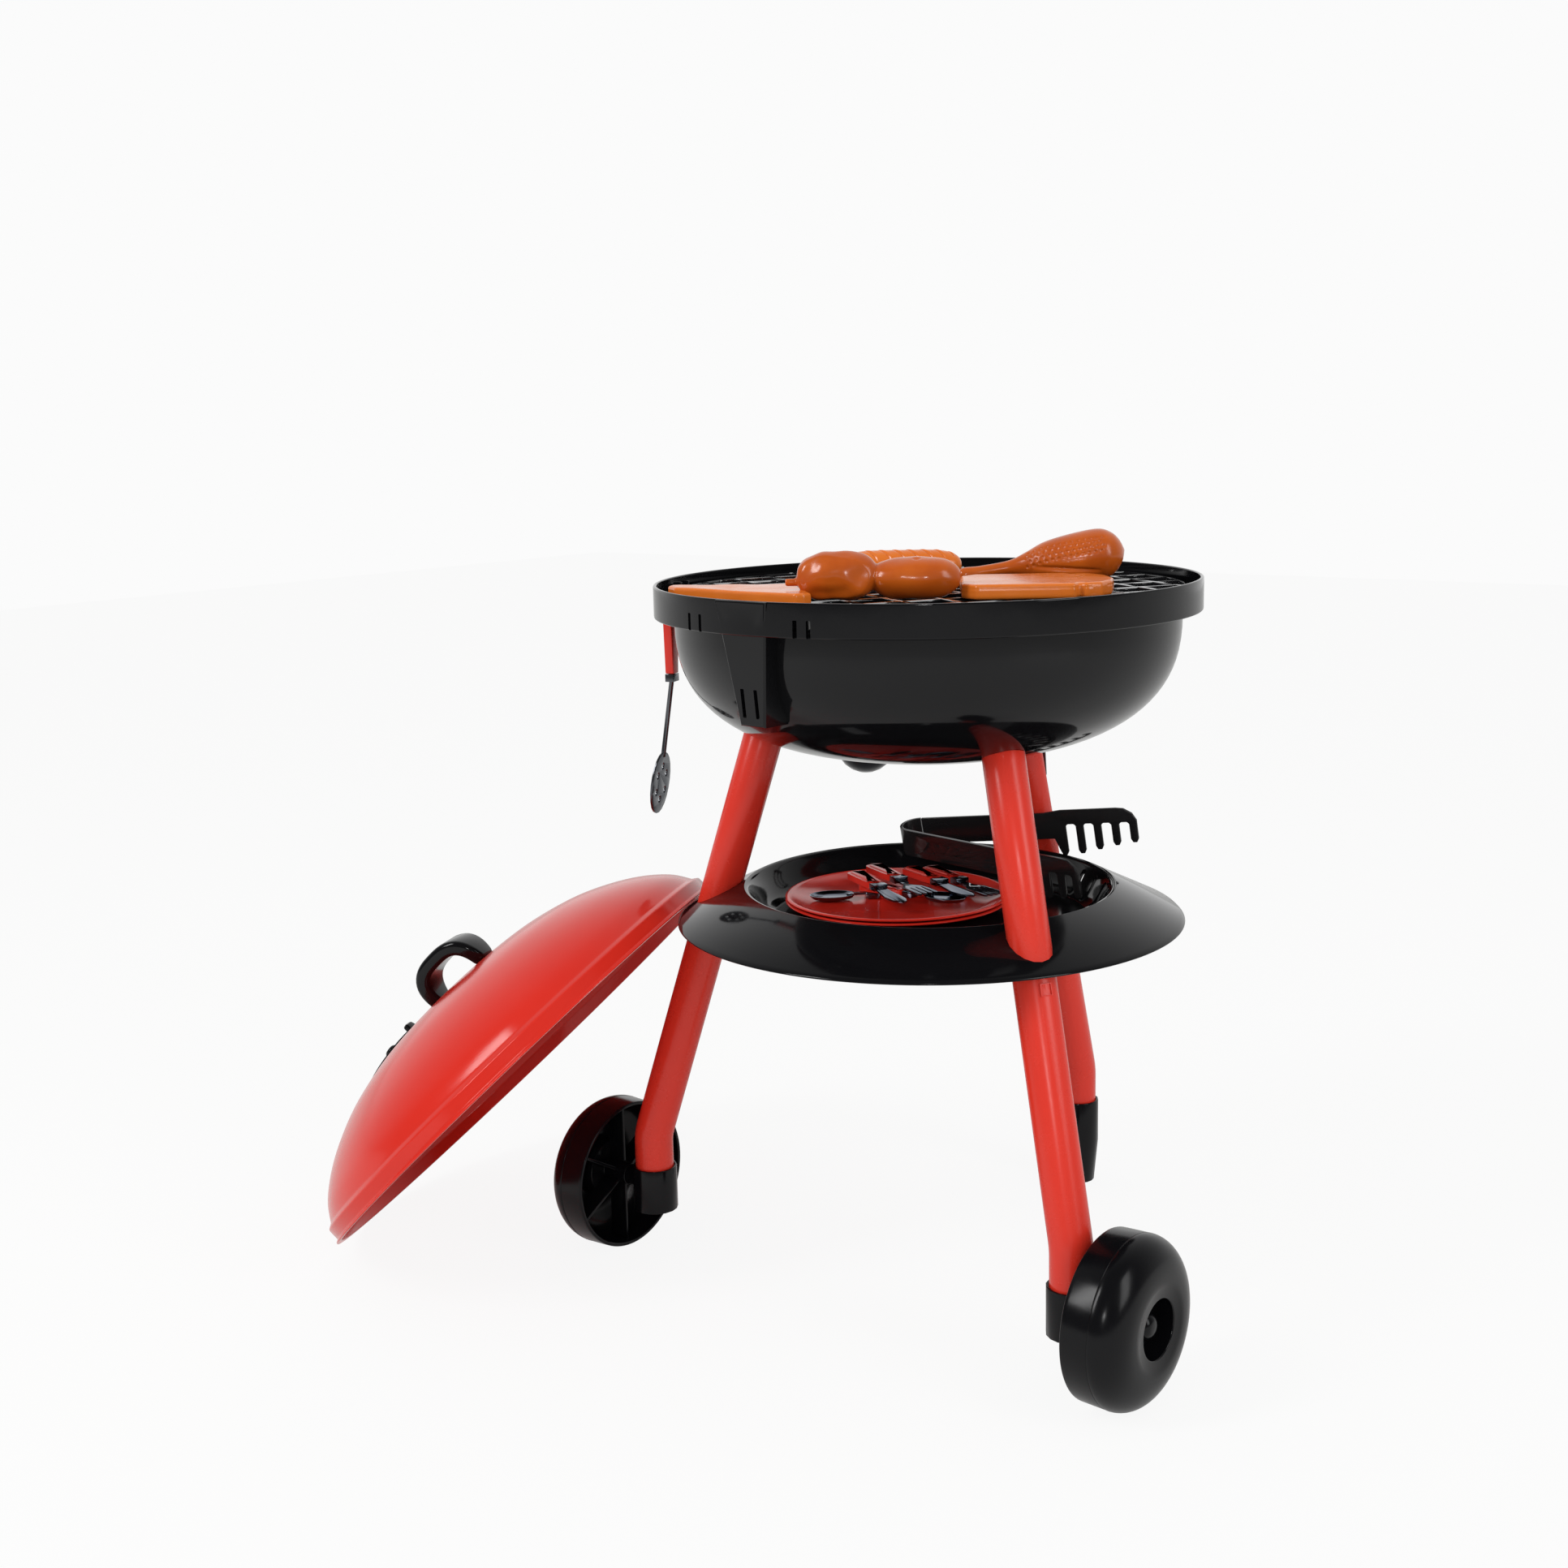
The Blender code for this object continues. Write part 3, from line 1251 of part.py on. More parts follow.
def make_tool_handle(which):
    half = tool_handle_width * HALF
    outline = [(-half * 0.5, 0), (half * 0.5, 0), (half, -half * 0.5), (half * 0.78, -tool_handle_length * 0.55),
               (half * 0.62, -tool_handle_length), (-half * 0.62, -tool_handle_length),
               (-half * 0.78, -tool_handle_length * 0.55), (-half, -half * 0.5)]
    hole = hook_peg_radius + plug_gap
    loops = [list(reversed(outline)), oval(hole, hole, small_steps, (0, -tool_peg_drop()))]
    handle = flat_outline(which + "_handle", loops, tool_handle_thickness, red_gloss)
    upright = frame_at((0, 0, 0), (0, 1, 0), (1, 0, 0))
    place(handle, tool_frame(which) @ upright)
    return own_origin(smooth(handle), tool_peg(which))


def tool_peg(which):
    return tool_frame(which) @ Vector((0, 0, -tool_peg_drop()))


def tool_head_start():
    return -tool_handle_length - seat_gap


def make_tool_head(which):
    """Collar, round shank and the tool's own end, in one moulding."""
    name = which + "_head"
    start = tool_head_start()
    collar = block(name, (tool_handle_thickness, tool_handle_width * 0.72, tool_collar_length),
                   (0, 0, start - tool_collar_length * HALF), paint=steel_look)
    root = start - tool_collar_length * HALF
    end = root - tool_shank_lengths[which]
    shank = rod("shank", tool_shank_radius, tool_shank_lengths[which], 8, group=cutters)
    place(shank, Matrix.Translation((0, 0, end)))
    if which == "ladle":
        fuse(shank, ladle_cup(end))
    else:
        upright = frame_at((0, 0, 0), (0, 1, 0), (1, 0, 0))
        drop = tool_head_length * HALF - tool_shank_radius * 2
        if which == "spatula":
            loops = [oval(tool_head_width * HALF, tool_head_length * HALF, mid_steps - 2)]
            for i in range(blade_hole_count):
                turn = TAU * (i + HALF) / blade_hole_count
                spot = (blade_hole_share * tool_head_width * math.cos(turn),
                        blade_hole_share * tool_head_length * math.sin(turn))
                loops.append(oval(blade_hole_radius, blade_hole_radius * 1.4, 8, spot))
        else:
            loops = [rounded_box(tool_head_width * 1.1, tool_head_length, tool_head_width * 0.12, 3)]
            for x in (-0.46, 0.46):
                arch = [(x * tool_head_width * HALF + dx * tool_head_width * 0.17, dy * tool_head_length)
                        for dx, dy in ((-1, -0.34), (1, -0.34), (1, 0.12), (0.55, 0.28), (0, 0.34),
                                       (-0.55, 0.28), (-1, 0.12))]
                loops.append(arch)
        blade = flat_outline("blade", loops, tool_head_thickness, group=cutters)
        fuse(shank, place(blade, Matrix.Translation((0, 0, end - drop)) @ upright))
        knee = Matrix.Translation((0, 0, root))
        place(shank, knee @ Matrix.Rotation(-tool_crank, 4, "Y") @ knee.inverted())
    fuse(collar, shank)
    place(collar, tool_frame(which))
    return own_origin(smooth(collar), tool_peg(which))


def ladle_cup(end):
    """A hemispherical cup, open upwards, whose rim meets the shank."""
    outer, inner = [], []
    for i in range(7):
        turn = TAU / 4 * i / 6
        outer.append((ladle_radius * math.cos(turn), -ladle_radius * math.sin(turn)))
        inner.append(((ladle_radius - ladle_wall) * math.cos(turn), -(ladle_radius - ladle_wall) * math.sin(turn)))
    outer[-1] = (0, outer[-1][1])
    inner[-1] = (0, inner[-1][1])
    cup = turned("ladle_cup", list(reversed(inner)) + outer, small_steps + 4, group=cutters)
    return place(cup, Matrix.Translation((ladle_radius - ladle_wall * HALF, 0, end + tool_shank_radius * 2)))


def make_hook(which):
    """A clip outside the band: a plate, two tongues in the slots and a peg with a knob."""
    azimuth = tool_azimuths[which]
    face = bowl_radius + seat_gap
    middle = rim_height - band_height + slot_height * HALF + slot_edge
    plate_x = face + hook_plate_thickness * HALF
    plate = block("hook_" + which, (hook_plate_thickness, hook_plate_width, hook_plate_height),
                  (plate_x, 0, middle), paint=black_satin)
    for side in (-HALF, HALF):
        tongue = block("tongue", (bowl_wall * 2 + hook_plate_thickness, slot_width - plug_gap * 2,
                                  slot_height - plug_gap * 2),
                       (face - bowl_wall, side * slot_pitch, middle), group=cutters)
        fuse(plate, tongue)
    peg = rod("peg", hook_peg_radius, hook_peg_length, 12, group=cutters)
    height = rim_height - tool_top_drop - tool_peg_drop()
    lay = Matrix.Translation((face + hook_plate_thickness * HALF, 0, height)) @ Matrix.Rotation(TAU / 4, 4, "Y")
    fuse(plate, place(peg, lay))
    return smooth(place(plate, Matrix.Rotation(azimuth, 4, "Z")))


def seat_on_origin():
    """Moves every piece so that the origin is the whole object's bottom centre."""
    bpy.context.view_layer.update()
    corners = [obj.matrix_world @ vertex.co for obj in parts.objects for vertex in obj.data.vertices]
    low = Vector([min(c[i] for c in corners) for i in range(3)])
    high = Vector([max(c[i] for c in corners) for i in range(3)])
    shift = Vector(((low.x + high.x) * HALF, (low.y + high.y) * HALF, low.z))
    for obj in parts.objects:
        obj.location -= shift


make_bowl()
make_shelf()
for side_name in leg_azimuths:
    make_upper_leg(side_name)
cap_floor_top = axle_cap_bottom + axle_cap_floor + seat_gap
make_lower_leg("left", cap_floor_top)
make_lower_leg("right", cap_floor_top)
make_lower_leg("foot", foot_cap_height * HALF)
make_foot_cap()
for side_name in ("left", "right"):
    make_axle_cap(side_name)
    make_wheel(side_name)
    make_hub_cap(side_name)
make_lid()
make_handle()
make_vent_disc()
make_vent_knob()
make_grate()
make_slab()
make_steak()
make_kebab()
make_sausage()
make_drumstick()
make_plate(0)
make_plate(1)
for item in CUTLERY:
    make_cutlery(*item)
make_tongs()
for tool in tool_azimuths:
    make_hook(tool)
    make_tool_handle(tool)
    make_tool_head(tool)
seat_on_origin()
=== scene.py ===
import json
import math

import bpy
from mathutils import Matrix, Vector, noise

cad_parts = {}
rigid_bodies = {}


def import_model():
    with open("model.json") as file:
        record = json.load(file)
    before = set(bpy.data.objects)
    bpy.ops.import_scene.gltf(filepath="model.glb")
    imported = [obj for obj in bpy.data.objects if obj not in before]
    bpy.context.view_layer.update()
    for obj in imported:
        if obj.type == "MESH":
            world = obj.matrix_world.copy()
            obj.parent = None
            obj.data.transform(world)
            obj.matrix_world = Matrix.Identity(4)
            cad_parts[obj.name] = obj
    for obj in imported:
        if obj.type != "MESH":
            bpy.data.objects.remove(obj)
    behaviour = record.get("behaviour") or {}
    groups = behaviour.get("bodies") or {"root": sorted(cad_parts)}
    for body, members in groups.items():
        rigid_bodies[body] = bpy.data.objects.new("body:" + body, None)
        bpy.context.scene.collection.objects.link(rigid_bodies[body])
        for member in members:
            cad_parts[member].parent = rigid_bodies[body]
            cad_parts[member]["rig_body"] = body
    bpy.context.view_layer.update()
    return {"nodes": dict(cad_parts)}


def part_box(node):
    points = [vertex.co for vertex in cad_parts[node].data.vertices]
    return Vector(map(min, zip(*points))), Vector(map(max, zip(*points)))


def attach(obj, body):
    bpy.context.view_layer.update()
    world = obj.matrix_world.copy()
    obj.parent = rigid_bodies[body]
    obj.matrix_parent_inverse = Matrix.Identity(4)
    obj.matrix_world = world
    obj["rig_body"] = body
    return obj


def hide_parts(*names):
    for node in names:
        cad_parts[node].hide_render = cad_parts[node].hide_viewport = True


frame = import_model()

MM = 0.001
nodes = frame["nodes"]

# The grill's own axis stands here on the floor, half way between the wheels and the foot.
AXIS = Vector((102.86 * MM, 47.53 * MM, 0))
QUARTER = math.tau / 4
# Corners nearer than this are one corner.
MERGE = 0.01 * MM
# Pieces that touch are seated with this much air.
SEAT = 0.3 * MM
# A noise node's scale counts its patches along a metre.
MM_IN_METRE = 1000


# Materials, each named for what the real piece is made of.

def linear(colour):
    """An sRGB hex colour as the linear values that a shader takes."""
    parts = [int(colour[i:i + 2], 16) / 255 for i in (1, 3, 5)]
    return [c / 12.92 if c <= 0.04045 else ((c + 0.055) / 1.055) ** 2.4 for c in parts] + [1]


def add(tree, kind, inputs=None, **settings):
    """A node with its settings, and its sockets set or linked."""
    node = tree.nodes.new(kind)
    for name, value in settings.items():
        setattr(node, name, value)
    for name, value in (inputs or {}).items():
        if isinstance(value, bpy.types.NodeSocket):
            tree.links.new(value, node.inputs[name])
        else:
            node.inputs[name].default_value = value
    return node


def blank(name):
    """A new material with its tree, and the tree's surface node."""
    paint = bpy.data.materials.new(name)
    paint.use_nodes = True
    tree = paint.node_tree
    return paint, tree, tree.nodes["Principled BSDF"]


def cloud(tree, place, millimetres, detail, **more):
    """Soft noise whose patches are so many millimetres across."""
    sockets = {"Vector": place, "Scale": MM_IN_METRE / millimetres, "Detail": detail, **more}
    return add(tree, "ShaderNodeTexNoise", sockets).outputs["Fac"]


def coat(tree, surface, tones, gloss_range, skin):
    """Links a surface's colour, its gloss and its skin to the three patterns that drive them."""
    tone, colour, shade = tones
    patch, low, high, gloss, dull = gloss_range
    height, strength, distance = skin
    tint = add(tree, "ShaderNodeMix", {"Factor": tone, "A": linear(colour), "B": linear(shade)},
               data_type="RGBA")
    worn = add(tree, "ShaderNodeMapRange", {"Value": patch, "From Min": low, "From Max": high,
                                            "To Min": gloss, "To Max": dull})
    wave = add(tree, "ShaderNodeBump", {"Height": height, "Strength": strength,
                                        "Distance": distance})
    tree.links.new(tint.outputs["Result"], surface.inputs["Base Color"])
    tree.links.new(worn.outputs["Result"], surface.inputs["Roughness"])
    tree.links.new(wave.outputs["Normal"], surface.inputs["Normal"])


def moulded(name, colour, shade, gloss, dull, peel=1.6, swirl=70, bump=0.06, mirror=0.5):
    """Injection moulded plastic: colour drifts softly where the melt ran, the gloss drifts
    between two values where hands have rubbed it, and the skin has a faint orange peel.
    Swirl and peel are the patterns' sizes in mm."""
    rubbed, peel_height, plastic_ior = 28, 0.08 * MM, 1.5
    paint, tree, surface = blank(name)
    place = add(tree, "ShaderNodeTexCoord").outputs["Object"]
    coat(tree, surface, (cloud(tree, place, swirl, 3), colour, shade),
         (cloud(tree, place, rubbed, 6, Roughness=0.7), 0.35, 0.7, gloss, dull),
         (cloud(tree, place, peel, 1), bump, peel_height))
    surface.inputs["IOR"].default_value = plastic_ior
    surface.inputs["Specular IOR Level"].default_value = mirror
    return paint


# Polished black ABS of the bowl and shelf: near black, mirror-like at a glancing look.
black_abs = moulded("polished_black_abs", "#0B0B0D", "#101012", 0.06, 0.13,
                    bump=0.02, mirror=0.27)
# Fine-sparked black polypropylene of wheels, sleeves and hooks: softer, broader lights.
black_pp = moulded("satin_black_polypropylene", "#09090B", "#0D0D10", 0.15, 0.24,
                   peel=0.9, bump=0.06, mirror=0.22)
# The tongs' polypropylene: a touch greyer, so their dimples and combs still read in the shade.
tongs_pp = moulded("greyish_black_polypropylene", "#1D1C1D", "#262526", 0.16, 0.26,
                   bump=0.04, mirror=0.5)
# Polished red ABS of the lid and plates: clear orange-red, with sharp white lights.
red_abs = moulded("polished_red_abs", "#DD3124", "#D42B20", 0.11, 0.18, bump=0.015, mirror=0.33)
# Extruded red tube of the legs: the same red with a silkier skin.
red_tube = moulded("silky_red_tube", "#E43A2A", "#DE3426", 0.24, 0.30,
                   peel=3, bump=0.008, mirror=0.35)
# Amber polyethylene of fillet, steak and sausage: the lighter, yellower of the two food tones.
amber_pe = moulded("waxy_amber_polyethylene", "#EE8230", "#DA6C1E", 0.15, 0.28,
                   swirl=30, bump=0.04)
# Caramel polyethylene of kebab and drumstick: warm, slightly waxy, darker where it ran thick.
caramel_pe = moulded("waxy_caramel_polyethylene", "#DA6C1E", "#A8420F", 0.15, 0.28,
                     swirl=26, bump=0.04)
# Black polystyrene of the grate: glossy bars that pick up white lines.
grate_ps = moulded("glossy_black_polystyrene", "#141416", "#1B1B1E", 0.06, 0.12,
                   bump=0.02, mirror=1.0)


def metallised(name, colour, shade, gloss, dull, grain):
    """Metal-look finish: a grey mirror, with a fine grain in mm drawn out along its height, and
    dull patches where fingers were."""
    touched, stretch, grain_height = 18, (1, 1, 0.06), 0.05 * MM
    paint, tree, surface = blank(name)
    place = add(tree, "ShaderNodeTexCoord").outputs["Object"]
    drawn = add(tree, "ShaderNodeMapping", {"Vector": place, "Scale": stretch})
    patch = cloud(tree, place, touched, 4)
    coat(tree, surface, (patch, colour, shade), (patch, 0.3, 0.7, gloss, dull),
         (cloud(tree, drawn.outputs["Vector"], grain, 2), 0.12, grain_height))
    surface.inputs["Metallic"].default_value = 1.0
    return paint


# Vacuum-metallised ABS of the cutlery: a dark mirror, softer than real steel. Its dark bluish grey
# is partly a painted reflection of dark blue surroundings.
blue_reflection_metal_abs = metallised("vacuum_metallised_abs_painted_blue_reflection", "#747B88", "#5B616D", 0.07, 0.15, 0.9)
# Chromed steel sheet and wire of the grilling tools, its grey darkened as painted shade.
shaded_tool_steel = metallised("chromed_tool_steel_painted_shade", "#6C6E72", "#55575B", 0.14, 0.26, 0.6)
# Black-chromed steel of the ladle: a near-black mirror.
black_steel = metallised("black_chromed_steel", "#2A2B2E", "#1E1F22", 0.1, 0.2, 0.6)


# Modelling steps that the pieces share.

def let_go():
    """Ends any editing and leaves nothing selected."""
    if bpy.context.object and bpy.context.object.mode == "EDIT":
        bpy.ops.object.mode_set(mode="OBJECT")
    bpy.ops.object.select_all(action="DESELECT")


def alone(piece):
    """Selects one piece only and makes it the active one."""
    let_go()
    piece.select_set(True)
    bpy.context.view_layer.objects.active = piece


def pick(piece, test):
    """Edits a piece with only those corners selected that pass a test."""
    alone(piece)
    bpy.ops.object.mode_set(mode="EDIT")
    bpy.ops.mesh.select_mode(type="VERT")
    bpy.ops.mesh.select_all(action="DESELECT")
    bpy.ops.object.mode_set(mode="OBJECT")
    for corner in piece.data.vertices:
        corner.select = test(corner.co)
    bpy.ops.object.mode_set(mode="EDIT")


def settle(piece, pose=Matrix()):
    """Ends the editing and moves the mesh itself to its place."""
    bpy.ops.object.mode_set(mode="OBJECT")
    piece.data.transform(pose)
    return piece


def shape(piece, kind, **settings):
    """A modifier with its settings, applied at once."""
    alone(piece)
    step = piece.modifiers.new(kind.lower(), kind)
    for name, value in settings.items():
        setattr(step, name, value)
    bpy.ops.object.modifier_apply(modifier=step.name)
    return piece


def round_edges(piece, width, segments, angle):
    """Rounds off the edges that turn by more than an angle in degrees."""
    return shape(piece, "BEVEL", width=width, segments=segments, limit_method="ANGLE",
                 angle_limit=math.radians(angle))


def carve(piece, tool, how="DIFFERENCE"):
    """Cuts a tool's form out of a piece, or joins it on, and takes the tool away."""
    shape(piece, "BOOLEAN", operation=how, solver="EXACT", object=tool)
    bpy.data.objects.remove(tool, do_unlink=True)
    return piece


def soften(outline, reach, steps=3):
    """The outline with each sharp corner rounded off over a short reach."""
    smooth_enough, most_of_side = math.radians(25), 0.45
    rounded = [tuple(outline[0])]
    for before, corner, after in zip(outline, outline[1:], outline[2:]):
        corner = Vector(corner)
        back, on = Vector(before) - corner, Vector(after) - corner
        if (-back).angle(on) < smooth_enough:
            rounded.append(tuple(corner))
            continue
        near = min(reach, back.length * most_of_side, on.length * most_of_side)
        start, end = corner + back.normalized() * near, corner + on.normalized() * near
        for i in range(steps + 1):
            t = i / steps
            rounded.append(tuple(start * (1 - t) ** 2 + corner * 2 * t * (1 - t) + end * t ** 2))
    return rounded + [tuple(outline[-1])]


def flow(points, steps):
    """A smooth line through the points, with a number of steps between each two."""
    ends = [points[0]] + list(points) + [points[-1]]
    line = []
    for i in range(len(points) - 1):
        a, b, c, d = (Vector(p) for p in ends[i:i + 4])
        for k in range(steps):
            t = k / steps
            line.append(tuple((b * 2 + (c - a) * t + (a * 2 - b * 5 + c * 4 - d) * t ** 2
                               + (b * 3 - a - c * 3 + d) * t ** 3) / 2))
    return line + [tuple(points[-1])]


def chain(name, points):
    """A line drawn out point by point from one corner; editing stays on."""
    let_go()
    bpy.ops.mesh.primitive_plane_add(size=MM, location=(0, 0, 0))
    line = bpy.context.object
    line.name = name
    bpy.ops.object.mode_set(mode="EDIT")
    bpy.ops.mesh.select_mode(type="VERT")
    bpy.ops.mesh.select_all(action="SELECT")
    bpy.ops.mesh.merge(type="CENTER")
    bpy.ops.transform.translate(value=points[0])
    for near, far in zip(points, points[1:]):
        way = Vector(far) - Vector(near)
        bpy.ops.mesh.extrude_region_move(TRANSFORM_OT_translate={"value": way})
    return line


def lathe(name, outline, steps, pose=Matrix()):
    """A turned piece: its outline of radii and heights, spun once round."""
    piece = chain(name, [(r, 0, z) for r, z in outline])
    bpy.ops.mesh.select_all(action="SELECT")
    bpy.ops.mesh.spin(steps=steps, angle=math.tau, center=(0, 0, 0), axis=(0, 0, 1))
    bpy.ops.mesh.select_all(action="SELECT")
    bpy.ops.mesh.remove_doubles(threshold=MERGE)
    bpy.ops.mesh.normals_make_consistent(inside=False)
    return settle(piece, pose)


def slab(name, outline, thickness, margin, depth):
    """A flat outline drawn up to a thickness, with a field sunk into its top inside a margin."""
    piece = chain(name, [(x, y, 0) for x, y in outline])
    bpy.ops.mesh.select_all(action="SELECT")
    bpy.ops.mesh.edge_face_add()
    bpy.ops.mesh.extrude_region_move(TRANSFORM_OT_translate={"value": (0, 0, thickness)})
    bpy.ops.mesh.inset(thickness=margin, depth=0)
    bpy.ops.mesh.inset(thickness=depth, depth=-depth)
    bpy.ops.mesh.select_all(action="SELECT")
    bpy.ops.mesh.normals_make_consistent(inside=False)
    return settle(piece)


def billet(name, size, pose, corner=0.0):
    """A squared block, its edges rounded where a corner radius is given."""
    let_go()
    bpy.ops.mesh.primitive_cube_add(size=1, location=(0, 0, 0))
    block = bpy.context.object
    block.name = name
    bpy.ops.object.mode_set(mode="EDIT")
    bpy.ops.mesh.select_all(action="SELECT")
    bpy.ops.transform.resize(value=size)
    if corner:
        bpy.ops.mesh.bevel(offset=corner, segments=3, affect="EDGES")
    return settle(block, pose)


def pebble(name, radii, pose):
    """An oval ball that presses a dent."""
    let_go()
    bpy.ops.mesh.primitive_uv_sphere_add(segments=24, ring_count=16, radius=1,
                                         location=(0, 0, 0))
    ball = bpy.context.object
    ball.name = name
    bpy.ops.object.mode_set(mode="EDIT")
    bpy.ops.mesh.select_all(action="SELECT")
    bpy.ops.transform.resize(value=radii)
    return settle(ball, pose)


def refined(node, edge=0.4 * MM, segments=2, angle=38):
    """A copy of a plain solid, merged to one skin, with its hard edges rounded."""
    piece = bpy.data.objects.new("moulded_" + node, nodes[node].data.copy())
    bpy.context.scene.collection.objects.link(piece)
    alone(piece)
    bpy.ops.mesh.customdata_custom_splitnormals_clear()
    bpy.ops.object.mode_set(mode="EDIT")
    bpy.ops.mesh.select_all(action="SELECT")
    bpy.ops.mesh.remove_doubles(threshold=MERGE)
    bpy.ops.mesh.dissolve_limited(angle_limit=math.radians(0.6))
    bpy.ops.object.mode_set(mode="OBJECT")
    if edge:
        round_edges(piece, edge, segments, angle)
    return piece


def finish(piece, paint, node, angle=30):
    """Soft lights over a piece, its finish, and the plain solid that it stands for."""
    alone(piece)
    bpy.ops.object.shade_smooth_by_angle(angle=math.radians(angle))
    piece.data.materials.clear()
    piece.data.materials.append(paint)
    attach(piece, nodes[node]["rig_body"])
    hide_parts(node)
    return piece


def twin(piece, name, pose):
    """One more of a finished form, with its own mesh, moved to another place."""
    other = bpy.data.objects.new(name, piece.data.copy())
    bpy.context.scene.collection.objects.link(other)
    other.data.transform(pose)
    return other


def facing(origin, x_way, z_way):
    """A pose from an origin, a rough x direction and an exact z direction."""
    z_dir = Vector(z_way).normalized()
    y_dir = z_dir.cross(Vector(x_way)).normalized()
    pose = Matrix((y_dir.cross(z_dir), y_dir, z_dir)).transposed().to_4x4()
    pose.translation = Vector(origin)
    return pose


def ring_point(radius, azimuth, height):
    """A point at a radius from the axis, in the direction of an azimuth, at a height."""
    return Vector((radius * math.cos(azimuth), radius * math.sin(azimuth), height))


def slide(*way):
    """A move as a matrix."""
    return Matrix.Translation(way)


def turn(angle, axis):
    """A turn about an axis as a matrix."""
    return Matrix.Rotation(angle, 4, axis)


stand = slide(*AXIS)


# The bowl: a deep upright band over a round kettle.

RIM = 535 * MM
BAND = RIM - 23.5 * MM
BOWL_RADIUS = 200 * MM
BOWL_WALL = 2.6 * MM
KETTLE_TOP = 185.5 * MM
KETTLE_DEPTH = 106.5 * MM
KETTLE_POWER = 2 / 2.6
BOWL_FILLET = 1.3 * MM
SLOT_WIDTH = 3.2 * MM
SLOT_CORNER = 0.7 * MM
PANEL_TURN = math.radians(-93)
PANEL_PROUD = 0.9 * MM
PANEL_LEAN = 10 * MM
TOOL_TURNS = {"spatula": math.radians(197), "ladle": math.radians(138),
              "turner": math.radians(103)}


def kettle_side(inset, steps=26):
    """The kettle's round side, from under the band down to its middle."""
    line = []
    for i in range(steps + 1):
        a = QUARTER * i / steps
        line.append(((KETTLE_TOP - inset) * math.cos(a) ** KETTLE_POWER,
                     BAND - (KETTLE_DEPTH - inset) * math.sin(a) ** KETTLE_POWER))
    line[-1] = (0, BAND - KETTLE_DEPTH + inset)
    return line


def panel_form(inset, over):
    """The wedge-shaped panel: it stands a little proud of the band, narrower and set back
    below. An inset makes the form that hollows it out."""
    wide, narrow, deep = 46 * MM - 2 * inset, 22 * MM - 2 * inset, 34 * MM
    tall = 86 * MM - inset + over
    front = BOWL_RADIUS + PANEL_PROUD - inset
    place = slide(0, front - deep / 2, RIM + over - tall / 2)
    block = billet("panel_form", (wide, deep, tall), place)
    low = RIM + over - tall + MM
    pick(block, lambda c: c.z < low)
    bpy.ops.transform.resize(value=(narrow / wide, 1, 1))
    pick(block, lambda c: c.z < low and c.y > front - MM)
    bpy.ops.transform.translate(value=(0, -PANEL_LEAN, 0))
    pick(block, lambda c: c.y > front - PANEL_LEAN - 4 * MM)
    bpy.ops.mesh.bevel(offset=1.6 * MM, segments=4, affect="EDGES")
    return settle(block, turn(PANEL_TURN - QUARTER, "Z"))


def make_bowl():
    """Kettle with a deep upright band, a vent panel in front and slots for the hooks."""
    steps, mid_wall = 128, 1.3 * MM
    inner = kettle_side(BOWL_WALL)[::-1]
    outer = [(BOWL_RADIUS, BAND)] + kettle_side(0)
    brim = [(KETTLE_TOP - BOWL_WALL, BAND + BOWL_WALL), (BOWL_RADIUS - BOWL_WALL, BAND + BOWL_WALL),
            (BOWL_RADIUS - BOWL_WALL, RIM), (BOWL_RADIUS, RIM)]
    bowl = lathe("kettle_bowl", soften(inner[:-1] + brim + outer, BOWL_FILLET), steps)
    over_rim = RIM + 30 * MM
    inside = [(0, over_rim), (BOWL_RADIUS - mid_wall, over_rim),
              (BOWL_RADIUS - mid_wall, BAND + mid_wall), (KETTLE_TOP - mid_wall, BAND + mid_wall)]
    core = lathe("bowl_core", inside + kettle_side(mid_wall)[1:], steps)
    carve(bowl, carve(panel_form(0, -0.3 * MM), core), "UNION")
    carve(bowl, panel_form(BOWL_WALL, 20 * MM))
    middle, beside_panel = BAND + 5.5 * MM, math.radians(14)
    wide_pair, tight_pair, vent_cut = 6.75 * MM, 5 * MM, (20 * MM, SLOT_WIDTH, 13 * MM)
    pairs = [(PANEL_TURN - beside_panel, wide_pair), (PANEL_TURN + beside_panel, tight_pair)]
    pairs += [(azimuth, wide_pair) for azimuth in TOOL_TURNS.values()]
    for azimuth, apart in pairs:
        for side in (-1, 1):
            spot = turn(azimuth, "Z") @ slide(BOWL_RADIUS, side * apart, middle)
            carve(bowl, billet("vent_slot", vent_cut, spot, SLOT_CORNER))
    panel_cut, panel_pair = (30 * MM, SLOT_WIDTH, 20 * MM), 6 * MM
    cut_reach, cut_height = BOWL_RADIUS - 5 * MM, RIM - 70 * MM
    for side in (-1, 1):
        spot = turn(PANEL_TURN, "Z") @ slide(cut_reach, side * panel_pair, cut_height)
        carve(bowl, billet("panel_slot", panel_cut, spot, SLOT_CORNER))
    bowl.data.transform(stand)
    finish(bowl, black_abs, "bowl", 28)
    shape(bowl, "WEIGHTED_NORMAL", keep_sharp=True)


# The shelf, and the legs that carry it and the bowl.

CREST = 139.5 * MM
CREST_HEIGHT = 306.5 * MM
SHELF_RADIUS = 190 * MM
SHELF_EDGE = 282.5 * MM
SHELF_FLOOR = 282 * MM
SHELF_WELL = 118 * MM
SHELF_WALL = 2.6 * MM
FLANGE_SLOPE = (CREST_HEIGHT - SHELF_EDGE) / (SHELF_RADIUS - CREST)
LEG_TURNS = {"left": math.radians(210), "right": math.radians(330), "foot": math.radians(90)}
LEG_TOP = 405 * MM
LEG_FALL = 306 * MM
LEG_CORNER = 99 * MM
TUBE_RADIUS = 15.1 * MM


